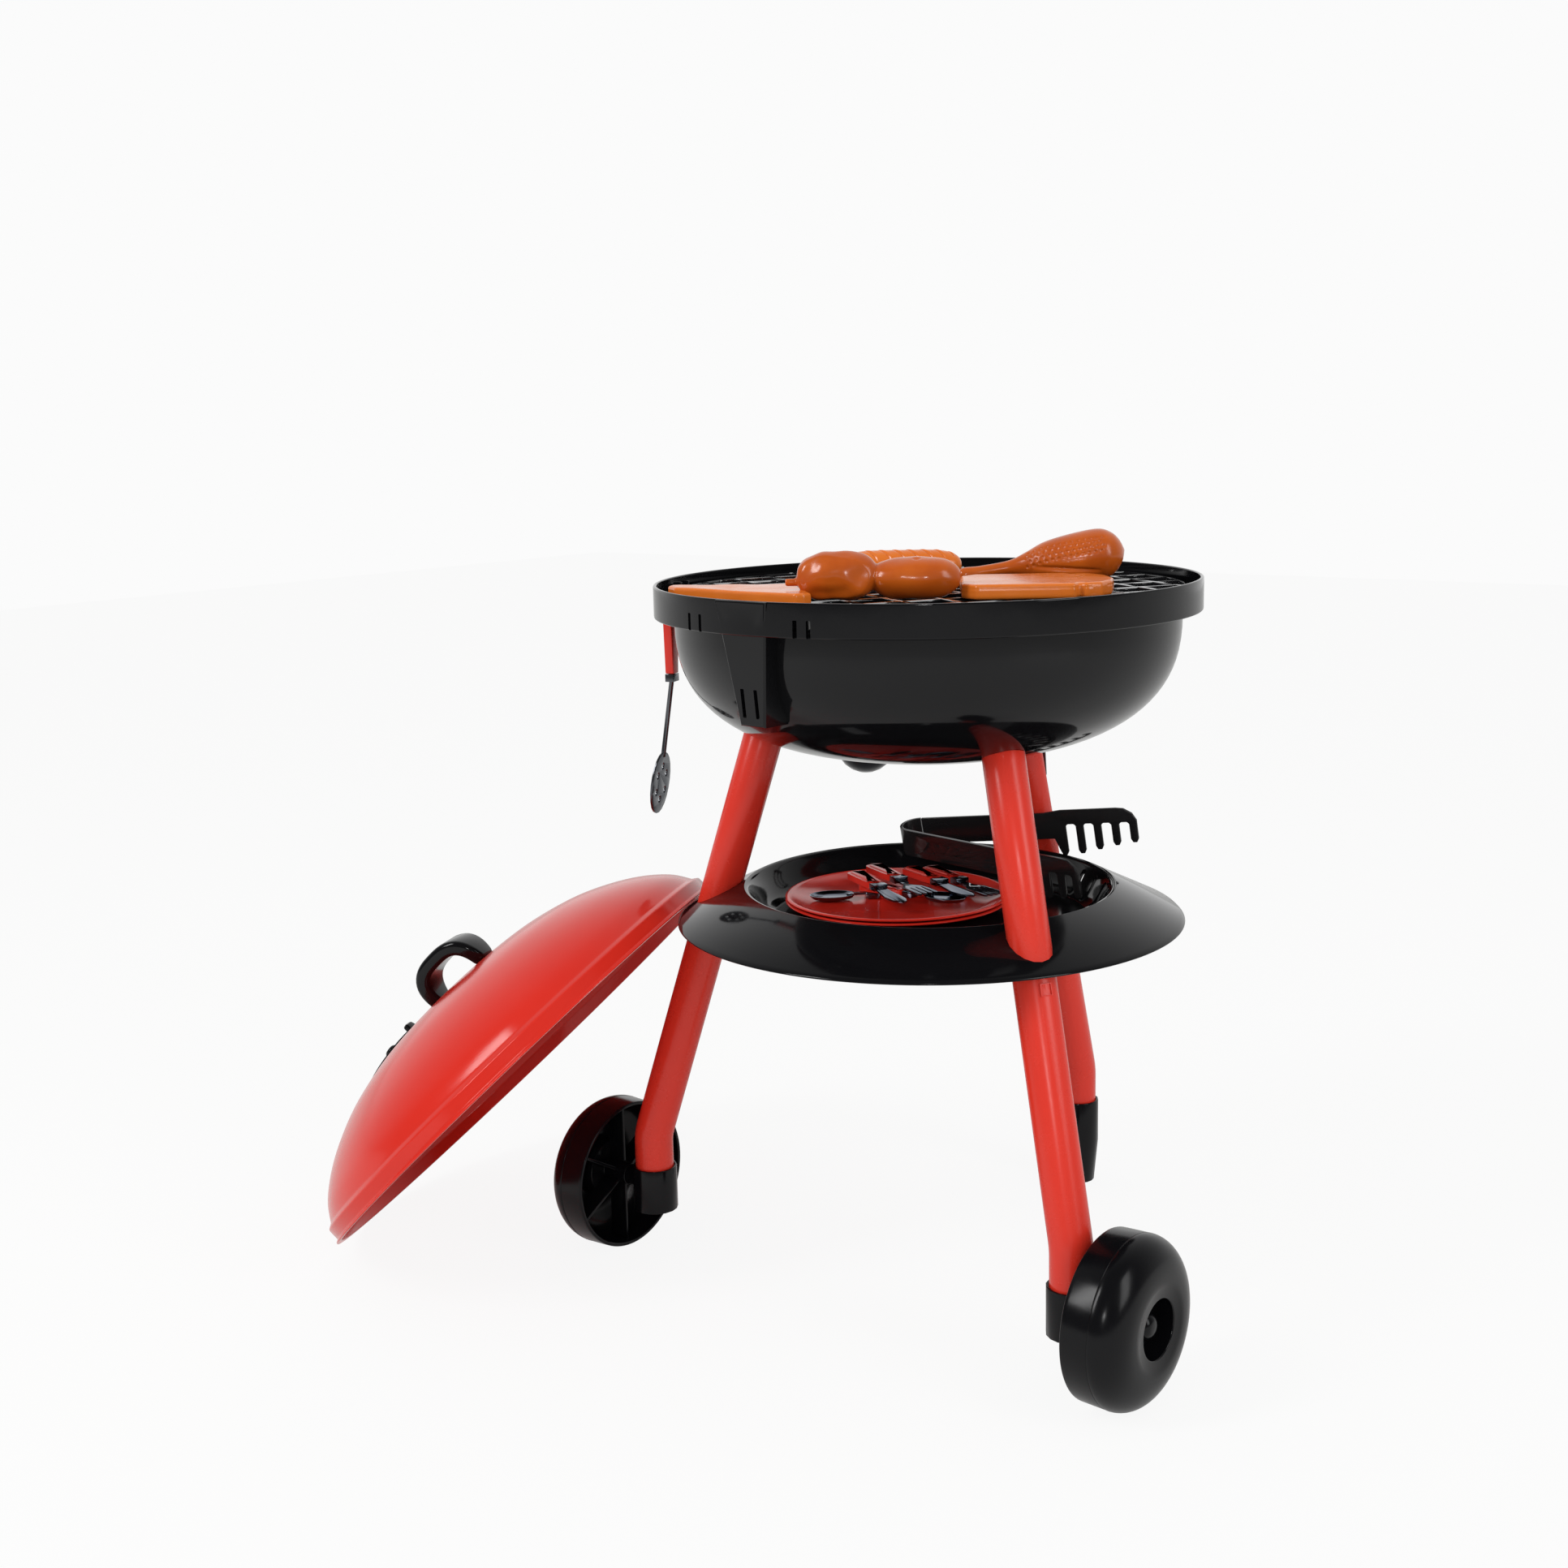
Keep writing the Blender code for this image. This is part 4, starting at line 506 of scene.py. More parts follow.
def leg_point(which, height):
    """A leg's centre line at a height: it runs straight from under the bowl outwards."""
    top_reach, spread = 127.4, 92.3
    share = (LEG_TOP - height) / LEG_FALL
    return ring_point((top_reach + spread * share) * MM, LEG_TURNS[which], height)


def leg_way(which):
    """The direction of a leg's straight part, upwards."""
    return (leg_point(which, LEG_TOP) - leg_point(which, LEG_CORNER)).normalized()


def flange_height(radius, gap=0):
    """The flange's upper side, or a surface a gap above it."""
    return CREST_HEIGHT - (radius - CREST) * FLANGE_SLOPE + gap


def make_shelf():
    """Round tray: a sloping flange, a crest, and a well for the plates with slots at its right."""
    run, fall = CREST - SHELF_WELL, CREST_HEIGHT - SHELF_FLOOR
    climb_above = (0.35, 0.22), (0.68, 0.72), (0.86, 0.95)
    fall_below = (0.86, 0.90), (0.68, 0.60), (0.42, 0.12)
    near_edge, lip_top, lip_foot = SHELF_RADIUS - SHELF_WALL, 1.3 * MM, 2.4 * MM
    top = flow([(SHELF_WELL, SHELF_FLOOR)]
               + [(SHELF_WELL + run * a, SHELF_FLOOR + fall * b) for a, b in climb_above]
               + [(CREST, CREST_HEIGHT)], 5)
    edge = [(near_edge, flange_height(near_edge)), (SHELF_RADIUS, SHELF_EDGE - lip_top),
            (SHELF_RADIUS, SHELF_EDGE - lip_foot), (near_edge, SHELF_EDGE - lip_foot)]
    under = [(near_edge, flange_height(near_edge, -SHELF_WALL))]
    under += flow([(CREST, CREST_HEIGHT - SHELF_WALL)]
                  + [(SHELF_WELL + run * a, SHELF_FLOOR + fall * b - SHELF_WALL)
                     for a, b in fall_below]
                  + [(SHELF_WELL, SHELF_FLOOR - SHELF_WALL)], 5)
    outline = [(0, SHELF_FLOOR)] + top + edge + under + [(0, SHELF_FLOOR - SHELF_WALL)]
    tray = lathe("shelf_tray", soften(outline, 1.1 * MM), 144)
    slots_in_group, slot_pitch, slot_ring = 7, 10, 127 * MM
    slot_size, slot_corner = (15 * MM, 5 * MM, 40 * MM), 1.6 * MM
    for i in range(slots_in_group):
        spot = turn(math.radians(slot_pitch * i), "Z") @ slide(slot_ring, 0, SHELF_FLOOR)
        carve(tray, billet("well_slot", slot_size, spot, slot_corner))
    tray.data.transform(stand)
    finish(tray, black_abs, "shelf", 28)


def leg_route(which, low_end):
    """A lower leg's middle line: straight down and outwards, an arc, then upright."""
    lean, sweep, arc_steps = math.acos(leg_way(which).z), 45 * MM, 12
    out, corner = ring_point(1, LEG_TURNS[which], 0), leg_point(which, LEG_CORNER)
    middle = corner - Vector((0, 0, sweep * math.tan(lean / 2))) - out * sweep
    route = [leg_point(which, SHELF_EDGE + 20 * MM)]
    for i in range(arc_steps + 1):
        a = lean * (1 - i / arc_steps)
        route.append(middle + out * sweep * math.cos(a) + Vector((0, 0, sweep * math.sin(a))))
    return route + [Vector((corner.x, corner.y, low_end))]


def drawn_tube(name, route, radius):
    """A round bar along a line of points, made a closed mesh."""
    tube = settle(chain(name, route))
    alone(tube)
    bpy.ops.object.convert(target="CURVE")
    tube.data.bevel_depth = radius
    tube.data.bevel_resolution = 10
    tube.data.use_fill_caps = True
    bpy.ops.object.convert(target="MESH")
    bpy.ops.object.mode_set(mode="EDIT")
    bpy.ops.mesh.select_all(action="SELECT")
    bpy.ops.mesh.remove_doubles(threshold=MERGE)
    bpy.ops.mesh.normals_make_consistent(inside=False)
    return settle(tube)


def make_legs():
    """Tubes under the bowl, and lower tubes that each show a square catch under the shelf."""
    near, far, over = CREST - 20 * MM, SHELF_RADIUS + 20 * MM, CREST_HEIGHT + 40 * MM
    gap, edge, catch_height, catch_corner = -SHELF_WALL - SEAT, 0.35 * MM, 266 * MM, 0.2 * MM
    catch_size, hole_size = (1.1 * MM, 9 * MM, 9 * MM), (3 * MM, 7.4 * MM, 7.4 * MM)
    for which in LEG_TURNS:
        finish(refined("upper_leg_" + which, edge, 2, 50), red_tube, "upper_leg_" + which, 40)
        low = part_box("lower_leg_" + which)[0][2]
        tube = drawn_tube("drawn_lower_leg_" + which, leg_route(which, low), TUBE_RADIUS)
        ring = [(near, flange_height(near, gap)), (far, flange_height(far, gap)), (far, over),
                (near, over), (near, flange_height(near, gap))]
        carve(tube, lathe("above_flange", ring, 96))
        round_edges(tube, edge, 2, 50)
        out = ring_point(1, LEG_TURNS[which], 0)
        middle = leg_point(which, catch_height)
        catch = facing(middle, out, leg_way(which)) @ slide(TUBE_RADIUS, 0, 0)
        square = billet("catch_frame", catch_size, catch, catch_corner)
        carve(square, billet("catch_middle", hole_size, catch, catch_corner))
        carve(tube, square, "UNION")
        tube.data.transform(stand)
        finish(tube, red_tube, "lower_leg_" + which, 40)


# The two wheels, their hub caps and the sleeves on the legs' ends.

WHEEL_RADIUS = 59.5 * MM
WHEEL_WIDTH = 42 * MM
WHEEL_SHELL = 2.8 * MM
EYE_RADIUS = 20.5 * MM
EYE_FLOOR = 25 * MM
HUB_RADIUS = 9 * MM
AXLE_BORE = 4.6 * MM


def make_wheel():
    """Blow-moulded look: a smooth tread, a parting line, a domed face and a deep eye."""
    face, half, ribs, dome_steps, inner_steps = 33 * MM, WHEEL_WIDTH / 2, 6, 14, 8
    outer = [(EYE_RADIUS, EYE_FLOOR), (EYE_RADIUS, WHEEL_WIDTH - 1.8 * MM),
             (EYE_RADIUS + 0.5 * MM, WHEEL_WIDTH - 1.1 * MM),
             (28.5 * MM, WHEEL_WIDTH - 0.35 * MM), (29.5 * MM, WHEEL_WIDTH)]
    for i in range(dome_steps + 1):
        a = QUARTER * (1 - i / dome_steps)
        outer.append((face + (WHEEL_RADIUS - face) * math.cos(a), half + half * math.sin(a)))
    seam = 0.3 * MM
    outer += [(WHEEL_RADIUS - seam * 0.2, half - seam),
              (WHEEL_RADIUS - seam * 1.6, half - seam * 2),
              (WHEEL_RADIUS - seam * 0.4, half - seam * 3), (58.8 * MM, 3 * MM), (58.6 * MM, 0)]
    inner = [(55.8 * MM, 0)]
    for i in range(inner_steps + 1):
        a = QUARTER * i / inner_steps
        inner.append((face + (WHEEL_RADIUS - WHEEL_SHELL - face) * math.cos(a),
                      half + (half - WHEEL_SHELL) * math.sin(a)))
    web = EYE_FLOOR - WHEEL_SHELL
    inner += [(24 * MM, 37.5 * MM), (23.3 * MM, web), (HUB_RADIUS, web), (HUB_RADIUS, 0),
              (AXLE_BORE, 0), (AXLE_BORE, EYE_FLOOR), (EYE_RADIUS, EYE_FLOOR)]
    wheel = lathe("wheel_form", soften(outer + inner, 0.9 * MM), 96)
    rib_size, rib_reach, rib_height = (48.5 * MM, 2.2 * MM, 16.6 * MM), 31.9 * MM, 15.3 * MM
    for i in range(ribs):
        spot = turn(math.tau * i / ribs, "Z") @ slide(rib_reach, 0, rib_height)
        rib = billet("wheel_rib", rib_size, spot, 0.4 * MM)
        carve(wheel, rib, "UNION")
    return wheel


def make_hub_cap():
    """A domed button with a blind socket that sits on the axle's end."""
    top, edge, socket, deep = 12 * MM, 10 * MM, 4.5 * MM, 5.8 * MM
    line = [(0, top)] + flow([(0.4 * MM, top), (5 * MM, 11.4 * MM), (8.6 * MM, 8.6 * MM),
                              (edge, 4.2 * MM)], 5)
    return lathe("hub_form", line + [(edge, 0), (socket, 0), (socket, deep), (0, deep)], 48)


def make_wheels():
    """A wheel and a hub cap on each side, and the sleeves of all three legs."""
    form, cap, reach, sharp = make_wheel(), make_hub_cap(), 25.5 * MM, 32
    for which, side in (("left", -1), ("right", 1)):
        foot = leg_point(which, LEG_CORNER)
        stub = stand @ slide(foot.x + side * reach, foot.y, WHEEL_RADIUS)
        stub = stub @ turn(side * QUARTER, "Y")
        finish(twin(form, "rolling_wheel_" + which, stub), black_pp, "wheel_" + which, sharp)
        outside = stub @ slide(0, 0, reach)
        finish(twin(cap, "hub_button_" + which, outside), black_pp, "hub_cap_" + which, sharp)
        sleeve = "axle_cap_" + which
        finish(refined(sleeve, 0.4 * MM, 2, 50), black_pp, sleeve, sharp)
    bpy.data.objects.remove(form)
    bpy.data.objects.remove(cap)
    finish(refined("foot_cap", 0.5 * MM, 2, 45), black_pp, "foot_cap", sharp)


# The lid that leans on the shelf, with its grip and vent disc.

LID_RADIUS = 204.5 * MM
LID_HEIGHT = 84 * MM
LID_TILT = math.radians(44.55)
LID_TURN = math.radians(204.3)
LID_REACH = 329.6 * MM
LID_WALL = 2.4 * MM
# The dome's line from crown to skirt, as shares of the lid's radius and height.
LID_LINE = ((0.10, 0.992), (0.21, 1.0), (0.30, 0.985), (0.41, 0.95), (0.51, 0.895), (0.61, 0.820),
            (0.70, 0.725), (0.79, 0.605), (0.865, 0.475), (0.925, 0.335), (0.965, 0.185))
HANDLE_SHIFT = 8 * MM
SCOOP_LENGTH = 22 * MM
SCOOP_WIDTH = 21 * MM
SCOOP_DEPTH = 8.4 * MM
VENT_POSE = slide(-84 * MM, 0, 80.065 * MM) @ turn(math.radians(-10.464), "Y")
VENT_HOLES = 4
VENT_HOLE_RADIUS = 5.5 * MM
VENT_HOLE_RING = 19 * MM


def lid_pose():
    """The lid leans on the shelf's side: its rim on the floor, its crown up and away."""
    out = ring_point(1, LID_TURN, 0)
    up = out * math.sin(LID_TILT) + Vector((0, 0, math.cos(LID_TILT)))
    climb = Vector((0, 0, math.sin(LID_TILT))) - out * math.cos(LID_TILT)
    rise = Vector((0, 0, LID_RADIUS * math.sin(LID_TILT) + SEAT))
    return stand @ facing(out * LID_REACH + rise, climb, up)


def dome(inset):
    """The dome's line from its crown to the skirt, moved in by a wall."""
    line = [(0, LID_HEIGHT * 0.992 - inset)]
    line += [(LID_RADIUS * r - inset / 2, LID_HEIGHT * h - inset) for r, h in LID_LINE]
    return flow(line, 5)


def make_lid():
    """Domed cover: a pressed scoop under the grip, a creased skirt and a rolled lip."""
    skirt = LID_RADIUS - 2.6 * MM
    lip = [(skirt, 12.5 * MM), (skirt, 2.6 * MM), (LID_RADIUS, 1.3 * MM), (LID_RADIUS, 0),
           (skirt - LID_WALL, 0), (skirt - LID_WALL, 10.1 * MM)]
    outline = dome(0) + lip + dome(LID_WALL)[::-1]
    cover = lathe("lid_cover", soften(outline, 1.2 * MM), 144)
    run_out, bowl_power = 1.3, 1.1
    for corner in cover.data.vertices:
        x, y = (corner.co.x - HANDLE_SHIFT) / SCOOP_LENGTH, corner.co.y / SCOOP_WIDTH
        reach = x * x + y * y
        if reach < run_out and corner.co.z > LID_HEIGHT * 0.9:
            corner.co.z -= SCOOP_DEPTH * max(0, 1 - reach / run_out) ** bowl_power
    punch = [(0, 12 * MM), (VENT_HOLE_RADIUS, 12 * MM), (VENT_HOLE_RADIUS, -12 * MM), (0, -12 * MM)]
    for i in range(VENT_HOLES):
        ring = turn(math.tau * (i + 0.5) / VENT_HOLES, "Z") @ slide(VENT_HOLE_RING, 0, 0)
        carve(cover, lathe("vent_hole", punch, 32, VENT_POSE @ ring))
    cover.data.transform(lid_pose())
    finish(cover, red_abs, "lid", 28)


def make_handle():
    """Strap bow over the scoop: broad in its middle, narrow at its feet."""
    half, rise, width, thickness, squareness, steps = (27.5 * MM, 28 * MM, 33 * MM, 12 * MM,
                                                       0.72, 28)
    arc = []
    for i in range(steps + 1):
        a = math.pi * i / steps
        arc.append((math.copysign(half * abs(math.cos(a)) ** squareness, math.cos(a)), -width / 2,
                    rise * math.sin(a) ** squareness))
    bow = chain("lid_grip", arc)
    bpy.ops.mesh.select_all(action="SELECT")
    bpy.ops.mesh.remove_doubles(threshold=0.3 * MM)
    bpy.ops.mesh.extrude_region_move(TRANSFORM_OT_translate={"value": (0, width, 0)})
    settle(bow)
    for corner in bow.data.vertices:
        corner.co.y *= 0.6 + 0.4 * math.sin(min(1, corner.co.z / rise) * QUARTER)
    shape(bow, "SOLIDIFY", thickness=thickness, offset=0, use_even_offset=True)
    round_edges(bow, 4 * MM, 5, 60)
    bow.data.transform(lid_pose() @ slide(HANDLE_SHIFT, 0, LID_HEIGHT + SEAT))
    finish(bow, black_abs, "lid_handle", 35)
    finish(refined("vent_disc", 0.4 * MM), black_pp, "vent_disc")
    finish(refined("vent_knob", 0.5 * MM), black_pp, "vent_knob")


# The grate, and the play food that lies on it.

# The photograph looks along this turn of the grill. Food and cutlery are placed by it.
PHOTO_TURN = math.radians(34.9)
GRATE_TOP = RIM - 6.5 * MM


def food_pose(right, away, twist=0.0, lift=0.0):
    """A place on the grate, so far to the right of and behind its middle."""
    place = slide(right, away, GRATE_TOP + SEAT + lift)
    return stand @ turn(PHOTO_TURN, "Z") @ place @ turn(twist, "Z")


def make_grate():
    """Moulded grate: its bars with rounded edges."""
    finish(refined("grate", 0.8 * MM, 3), grate_ps, "grate", 35)


def mellow(node, voxel, rounds):
    """A copy of a food solid with every edge run soft, as blow-moulded toys have."""
    piece = refined(node, 0)
    shape(piece, "REMESH", mode="VOXEL", voxel_size=voxel)
    return shape(piece, "SMOOTH", factor=0.5, iterations=rounds)


def dent(piece, pose, spots, reach, depth, way=(0, 0, -1)):
    """Presses soft round pits into a piece at spots given in its own pose."""
    back = pose.inverted()
    push = pose.to_3x3() @ Vector(way)
    for corner in piece.data.vertices:
        near = min((back @ corner.co - Vector(spot)).length for spot in spots)
        if near < reach:
            corner.co += push * depth * (1 - (near / reach) ** 2)


def make_flat_food():
    """Fillet with a faint ripple, and steak with a fine moulded line high round its side."""
    wave_length, wave_height, full_wave = 5.2 * MM, 0.16 * MM, 8 * MM
    fillet = mellow("food_fillet", 0.9 * MM, 4)
    back = food_pose(-131 * MM, -84 * MM).inverted()
    for corner in fillet.data.vertices:
        spot = back @ corner.co
        ripple = math.sin((spot.x * 0.9 + spot.y * 0.5) / wave_length)
        corner.co.z += wave_height * (ripple * min(1, spot.z / full_wave))
    finish(fillet, amber_pe, "food_fillet", 60)
    line_height, line_half, line_depth = 7.6 * MM, 0.9 * MM, 0.3 * MM
    side_x, side_y = 46 * MM, 39 * MM
    steak = mellow("food_steak", 0.8 * MM, 3)
    pose = food_pose(77 * MM, -74 * MM)
    back = pose.inverted()
    for corner in steak.data.vertices:
        spot = back @ corner.co
        off = abs(spot.z - line_height)
        if (abs(spot.x) > side_x or abs(spot.y) > side_y) and off < line_half:
            inward = pose.to_3x3() @ Vector((-spot.x, -spot.y, 0)).normalized()
            corner.co += inward * line_depth * (1 - off / line_half)
    finish(steak, amber_pe, "food_steak", 60)


def meat_lump(name, half, wide, tall, centre):
    """A blunt lump that lies along the stick."""
    line, steps = [], 40
    for i in range(steps + 1):
        share = 1 - 2 * i / steps
        line.append(((1 - abs(share) ** 3) ** 0.5, half * share))
    line[0], line[-1] = (0, half), (0, -half)
    lump = lathe(name, line, 48, turn(QUARTER, "Y"))
    pick(lump, lambda c: True)
    bpy.ops.transform.resize(value=(1, wide, tall))
    return settle(lump, slide(centre, 0, tall))


def make_kebab():
    """Two lumps on a stick: the left one knobbly and flat in front, the right one smooth."""
    pose = food_pose(-31 * MM, -106 * MM)
    kebab = meat_lump("skewered_kebab", 28.5 * MM, 18.5 * MM, 16.4 * MM, -29 * MM)
    carve(kebab, meat_lump("second_lump", 32 * MM, 16.5 * MM, 14.4 * MM, 23.5 * MM), "UNION")
    stick = [(0, 0), (2.2 * MM, 0), (2.6 * MM, 0.6 * MM), (2.6 * MM, 80 * MM), (0, 80 * MM)]
    lay = slide(-65 * MM, 0, 12.9 * MM) @ turn(QUARTER, "Y")
    carve(kebab, lathe("kebab_stick", stick, 24, lay), "UNION")
    shape(kebab, "REMESH", mode="VOXEL", voxel_size=0.8 * MM)
    shape(kebab, "SMOOTH", factor=0.5, iterations=3)
    bare_stick, between, knobs, middle, front = -57 * MM, -3 * MM, 13 * MM, 14 * MM, 15 * MM
    knobbly, smooth = 2.0, 0.8
    for corner in kebab.data.vertices:
        x, y, z = corner.co
        if x < bare_stick:
            continue
        first = x < between
        grain = noise.noise(corner.co / knobs) * (knobbly if first else smooth) * MM
        if first and y + x * 0.2 < -front:
            corner.co.y -= (y + x * 0.2 + front) * 0.5
        corner.co += Vector((0, y, z - middle)).normalized() * grain
    pits = [(-19 * MM, -9 * MM, 27 * MM), (25 * MM, -4 * MM, 26.4 * MM)]
    dent(kebab, Matrix(), pits, 3.4 * MM, 1.6 * MM)
    pricks = [(-16 * MM, -11 * MM, 21 * MM), (44 * MM, -8 * MM, 17 * MM)]
    dent(kebab, Matrix(), pricks, 1.8 * MM, 1.4 * MM, (0, 1, 0))
    low = min(corner.co.z for corner in kebab.data.vertices)
    kebab.data.transform(pose @ slide(0, 0, -low))
    finish(kebab, caramel_pe, "food_kebab", 60)


def make_sausage():
    """Scored sausage: slanting curved cuts across its upper side."""
    radius, half, steps = 12.2 * MM, 46 * MM, 220
    line = []
    for i in range(steps + 1):
        share = 1 - 2 * i / steps
        line.append((radius * (1 - abs(share) ** 5) ** 0.45, half * share))
    lay = slide(0, 0, radius) @ turn(QUARTER, "Y")
    sausage = lathe("scored_sausage", line, 96, lay)
    pitch, slant, scored = 10.4 * MM, 0.8, 40 * MM
    cut_depth, cut_width, lip_rise, lip_at, lip_width = (1.2 * MM, 0.7 * MM, 0.3 * MM, 1.6 * MM,
                                                         1.4 * MM)
    for corner in sausage.data.vertices:
        x, y, z = corner.co
        along = x + y * slant
        off = ((along / pitch) % 1 - 0.5) * pitch
        high = max(0, min(1, (z / radius - 0.95) * 2.5))
        if abs(x) < scored:
            corner.co.z -= cut_depth * math.exp(-(off / cut_width) ** 2) * high
            corner.co.z += lip_rise * math.exp(-((off - lip_at) / lip_width) ** 2) * high
    sausage.data.transform(food_pose(-19 * MM, 36 * MM))
    finish(sausage, amber_pe, "food_sausage", 60)


def make_drumstick():
    """Drumstick with rows of small dimples low on its near side, under a fold."""
    length, radius = 125 * MM, 18.6 * MM
    table = ((0, 0), (0.025, 0.45), (0.07, 0.80), (0.145, 1.0), (0.30, 0.96), (0.46, 0.80),
             (0.57, 0.52), (0.68, 0.29), (0.85, 0.25), (0.96, 0.27), (1, 0))
    knots = [(radius * wide, length * (1 - share)) for share, wide in table]
    line = [(max(0, r), z) for r, z in flow(knots, 16)]
    line[0], line[-1] = (0, line[0][1]), (0, line[-1][1])
    drum = lathe("dimpled_drumstick", line, 144)
    shape(drum, "REMESH", mode="VOXEL", voxel_size=0.7 * MM)
    shape(drum, "SMOOTH", factor=0.5, iterations=3)
    near_side = QUARTER + math.radians(152)
    rows, dimples, row_pitch, dimple_radius, dimple_depth = 4, 13, 3.6 * MM, 1.5 * MM, 0.8 * MM
    spots = []
    for row in range(rows):
        for i in range(dimples):
            height = length * (0.87 - 0.036 * i - (0.018 if row % 2 else 0))
            wide = min(((abs(z - height), r) for r, z in line))[1]
            round_way = near_side + (row - (rows - 1) / 2) * row_pitch / wide
            spots.append(ring_point(wide, round_way, height))
    fold = near_side + math.radians(48)
    fold_depth, fold_width, bulge_rise, bulge_width, bulge_at = (1.5 * MM, 1.4 * MM, 1.0 * MM,
                                                                 3.2 * MM, 4 * MM)
    for corner in drum.data.vertices:
        inward = Vector((-corner.co.x, -corner.co.y, 0)).normalized()
        near = min((corner.co - spot).length for spot in spots)
        if near < dimple_radius:
            corner.co += inward * dimple_depth * (1 - (near / dimple_radius) ** 2)
        reach = math.hypot(corner.co.x, corner.co.y)
        share = (corner.co.z / length - 0.44) / 0.4
        if 0 < share < 1:
            off = (math.atan2(corner.co.y, corner.co.x) - fold + math.pi) % math.tau - math.pi
            off = (off - 0.5 * (share - 0.5)) * reach
            fade = math.sin(math.pi * share) ** 0.6
            corner.co += inward * fold_depth * fade * math.exp(-(off / fold_width) ** 2)
            bulge = math.exp(-((off - bulge_at) / bulge_width) ** 2)
            corner.co -= inward * bulge_rise * fade * bulge
    climb = math.asin(radius * 0.73 / (length * 0.815))
    drum.data.transform(turn(QUARTER - climb, "Y"))
    low = min(corner.co.z for corner in drum.data.vertices)
    drum.data.transform(food_pose(22 * MM, 10 * MM, math.radians(2), -low))
    finish(drum, caramel_pe, "food_drumstick", 60)


# The stacked plates, and the cutlery that is heaped on them.

PLATE_RADIUS = 86 * MM
PLATE_SPOT = Vector((-33.7 * MM, 5.4 * MM, 0))
HANDLE_LENGTH = 42 * MM
HANDLE_WIDTH = 14 * MM
HANDLE_THICKNESS = 4.6 * MM
# Name, place right and away in shares of the plate's radius, heading in degrees, layer.
CUTLERY = (("spoon_a", (0.31, 0.15), 193, 0), ("fork_a", (0.273, 0.79), -58, 0.95),
           ("spoon_b", (-0.32, 0.14), -35, 1), ("knife_a", (-0.40, 0.34), -64, 2),
           ("fork_b", (-0.24, 0.62), -62, 2), ("knife_b", (0.09, 0.50), -58, 2))


def make_plates():
    """Two stacked plates, each with a flat floor and a rising brim."""
    wall, foot, rise, stack_pitch = 2 * MM, 70 * MM, 6 * MM, 3.2 * MM
    side = foot + (PLATE_RADIUS - foot) * 0.62
    outline = [(0, wall), (foot, wall), (side, rise), (PLATE_RADIUS - wall, rise + wall / 2),
               (PLATE_RADIUS, rise), (PLATE_RADIUS - wall / 2, rise - wall / 2),
               (side + wall / 2, rise - wall), (foot + wall / 2, 0), (0, 0)]
    form = lathe("plate_form", soften(outline, 1.6 * MM, 4), 128)
    for layer, name in enumerate(("plate_lower", "plate_upper")):
        spot = PLATE_SPOT + Vector((0, 0, SHELF_FLOOR + SEAT + layer * stack_pitch))
        finish(twin(form, "dinner_" + name, stand @ slide(*spot)), red_abs, name, 30)
    bpy.data.objects.remove(form)


def make_cutlery():
    """Handles with a sunk field and three grip bars, behind metal-look blades and bowls."""
    half, field_depth, bar_size = HANDLE_WIDTH / 2, 0.7 * MM, (1.6 * MM, 6 * MM, 1.2 * MM)
    bars, first_bar, bar_pitch, bar_corner = 3, 14, 6, 0.3 * MM
    outline = [(0, half * 0.2), (0, -half * 0.55), (HANDLE_LENGTH * 0.08, -half),
               (HANDLE_LENGTH * 0.75, -half * 0.92), (HANDLE_LENGTH, -half * 0.75),
               (HANDLE_LENGTH, half * 0.75), (HANDLE_LENGTH * 0.75, half * 0.92),
               (HANDLE_LENGTH * 0.08, half), (0, half * 0.55), (0, half * 0.3)]
    form = slab("handle_form", soften(outline, 2.5 * MM), HANDLE_THICKNESS, 2.4 * MM, field_depth)
    round_edges(form, 0.7 * MM, 3, 50)
    for i in range(bars):
        spot = slide((first_bar + bar_pitch * i) * MM, 0, HANDLE_THICKNESS - field_depth)
        carve(form, billet("grip_bar", bar_size, spot, bar_corner), "UNION")
    first_layer, layer_pitch = SHELF_FLOOR + 5.8 * MM, HANDLE_THICKNESS + 0.34 * MM
    for name, (right, away), heading, layer in CUTLERY:
        spot = turn(PHOTO_TURN, "Z") @ slide(right * PLATE_RADIUS, away * PLATE_RADIUS, 0)
        spot = spot @ slide(0, 0, first_layer + layer * layer_pitch)
        lay = stand @ slide(*PLATE_SPOT) @ spot @ turn(math.radians(heading), "Z")
        grip = finish(twin(form, name + "_grip", lay), red_abs, name + "_handle", 30)
        shape(grip, "WEIGHTED_NORMAL", keep_sharp=True)
        # The heads' dark bluish grey is partly a painted reflection.
        finish(refined(name + "_head", 0.35 * MM), blue_reflection_metal_abs, name + "_head", 45)
    bpy.data.objects.remove(form)


# The tongs across the shelf, and the tools that hang from the band.

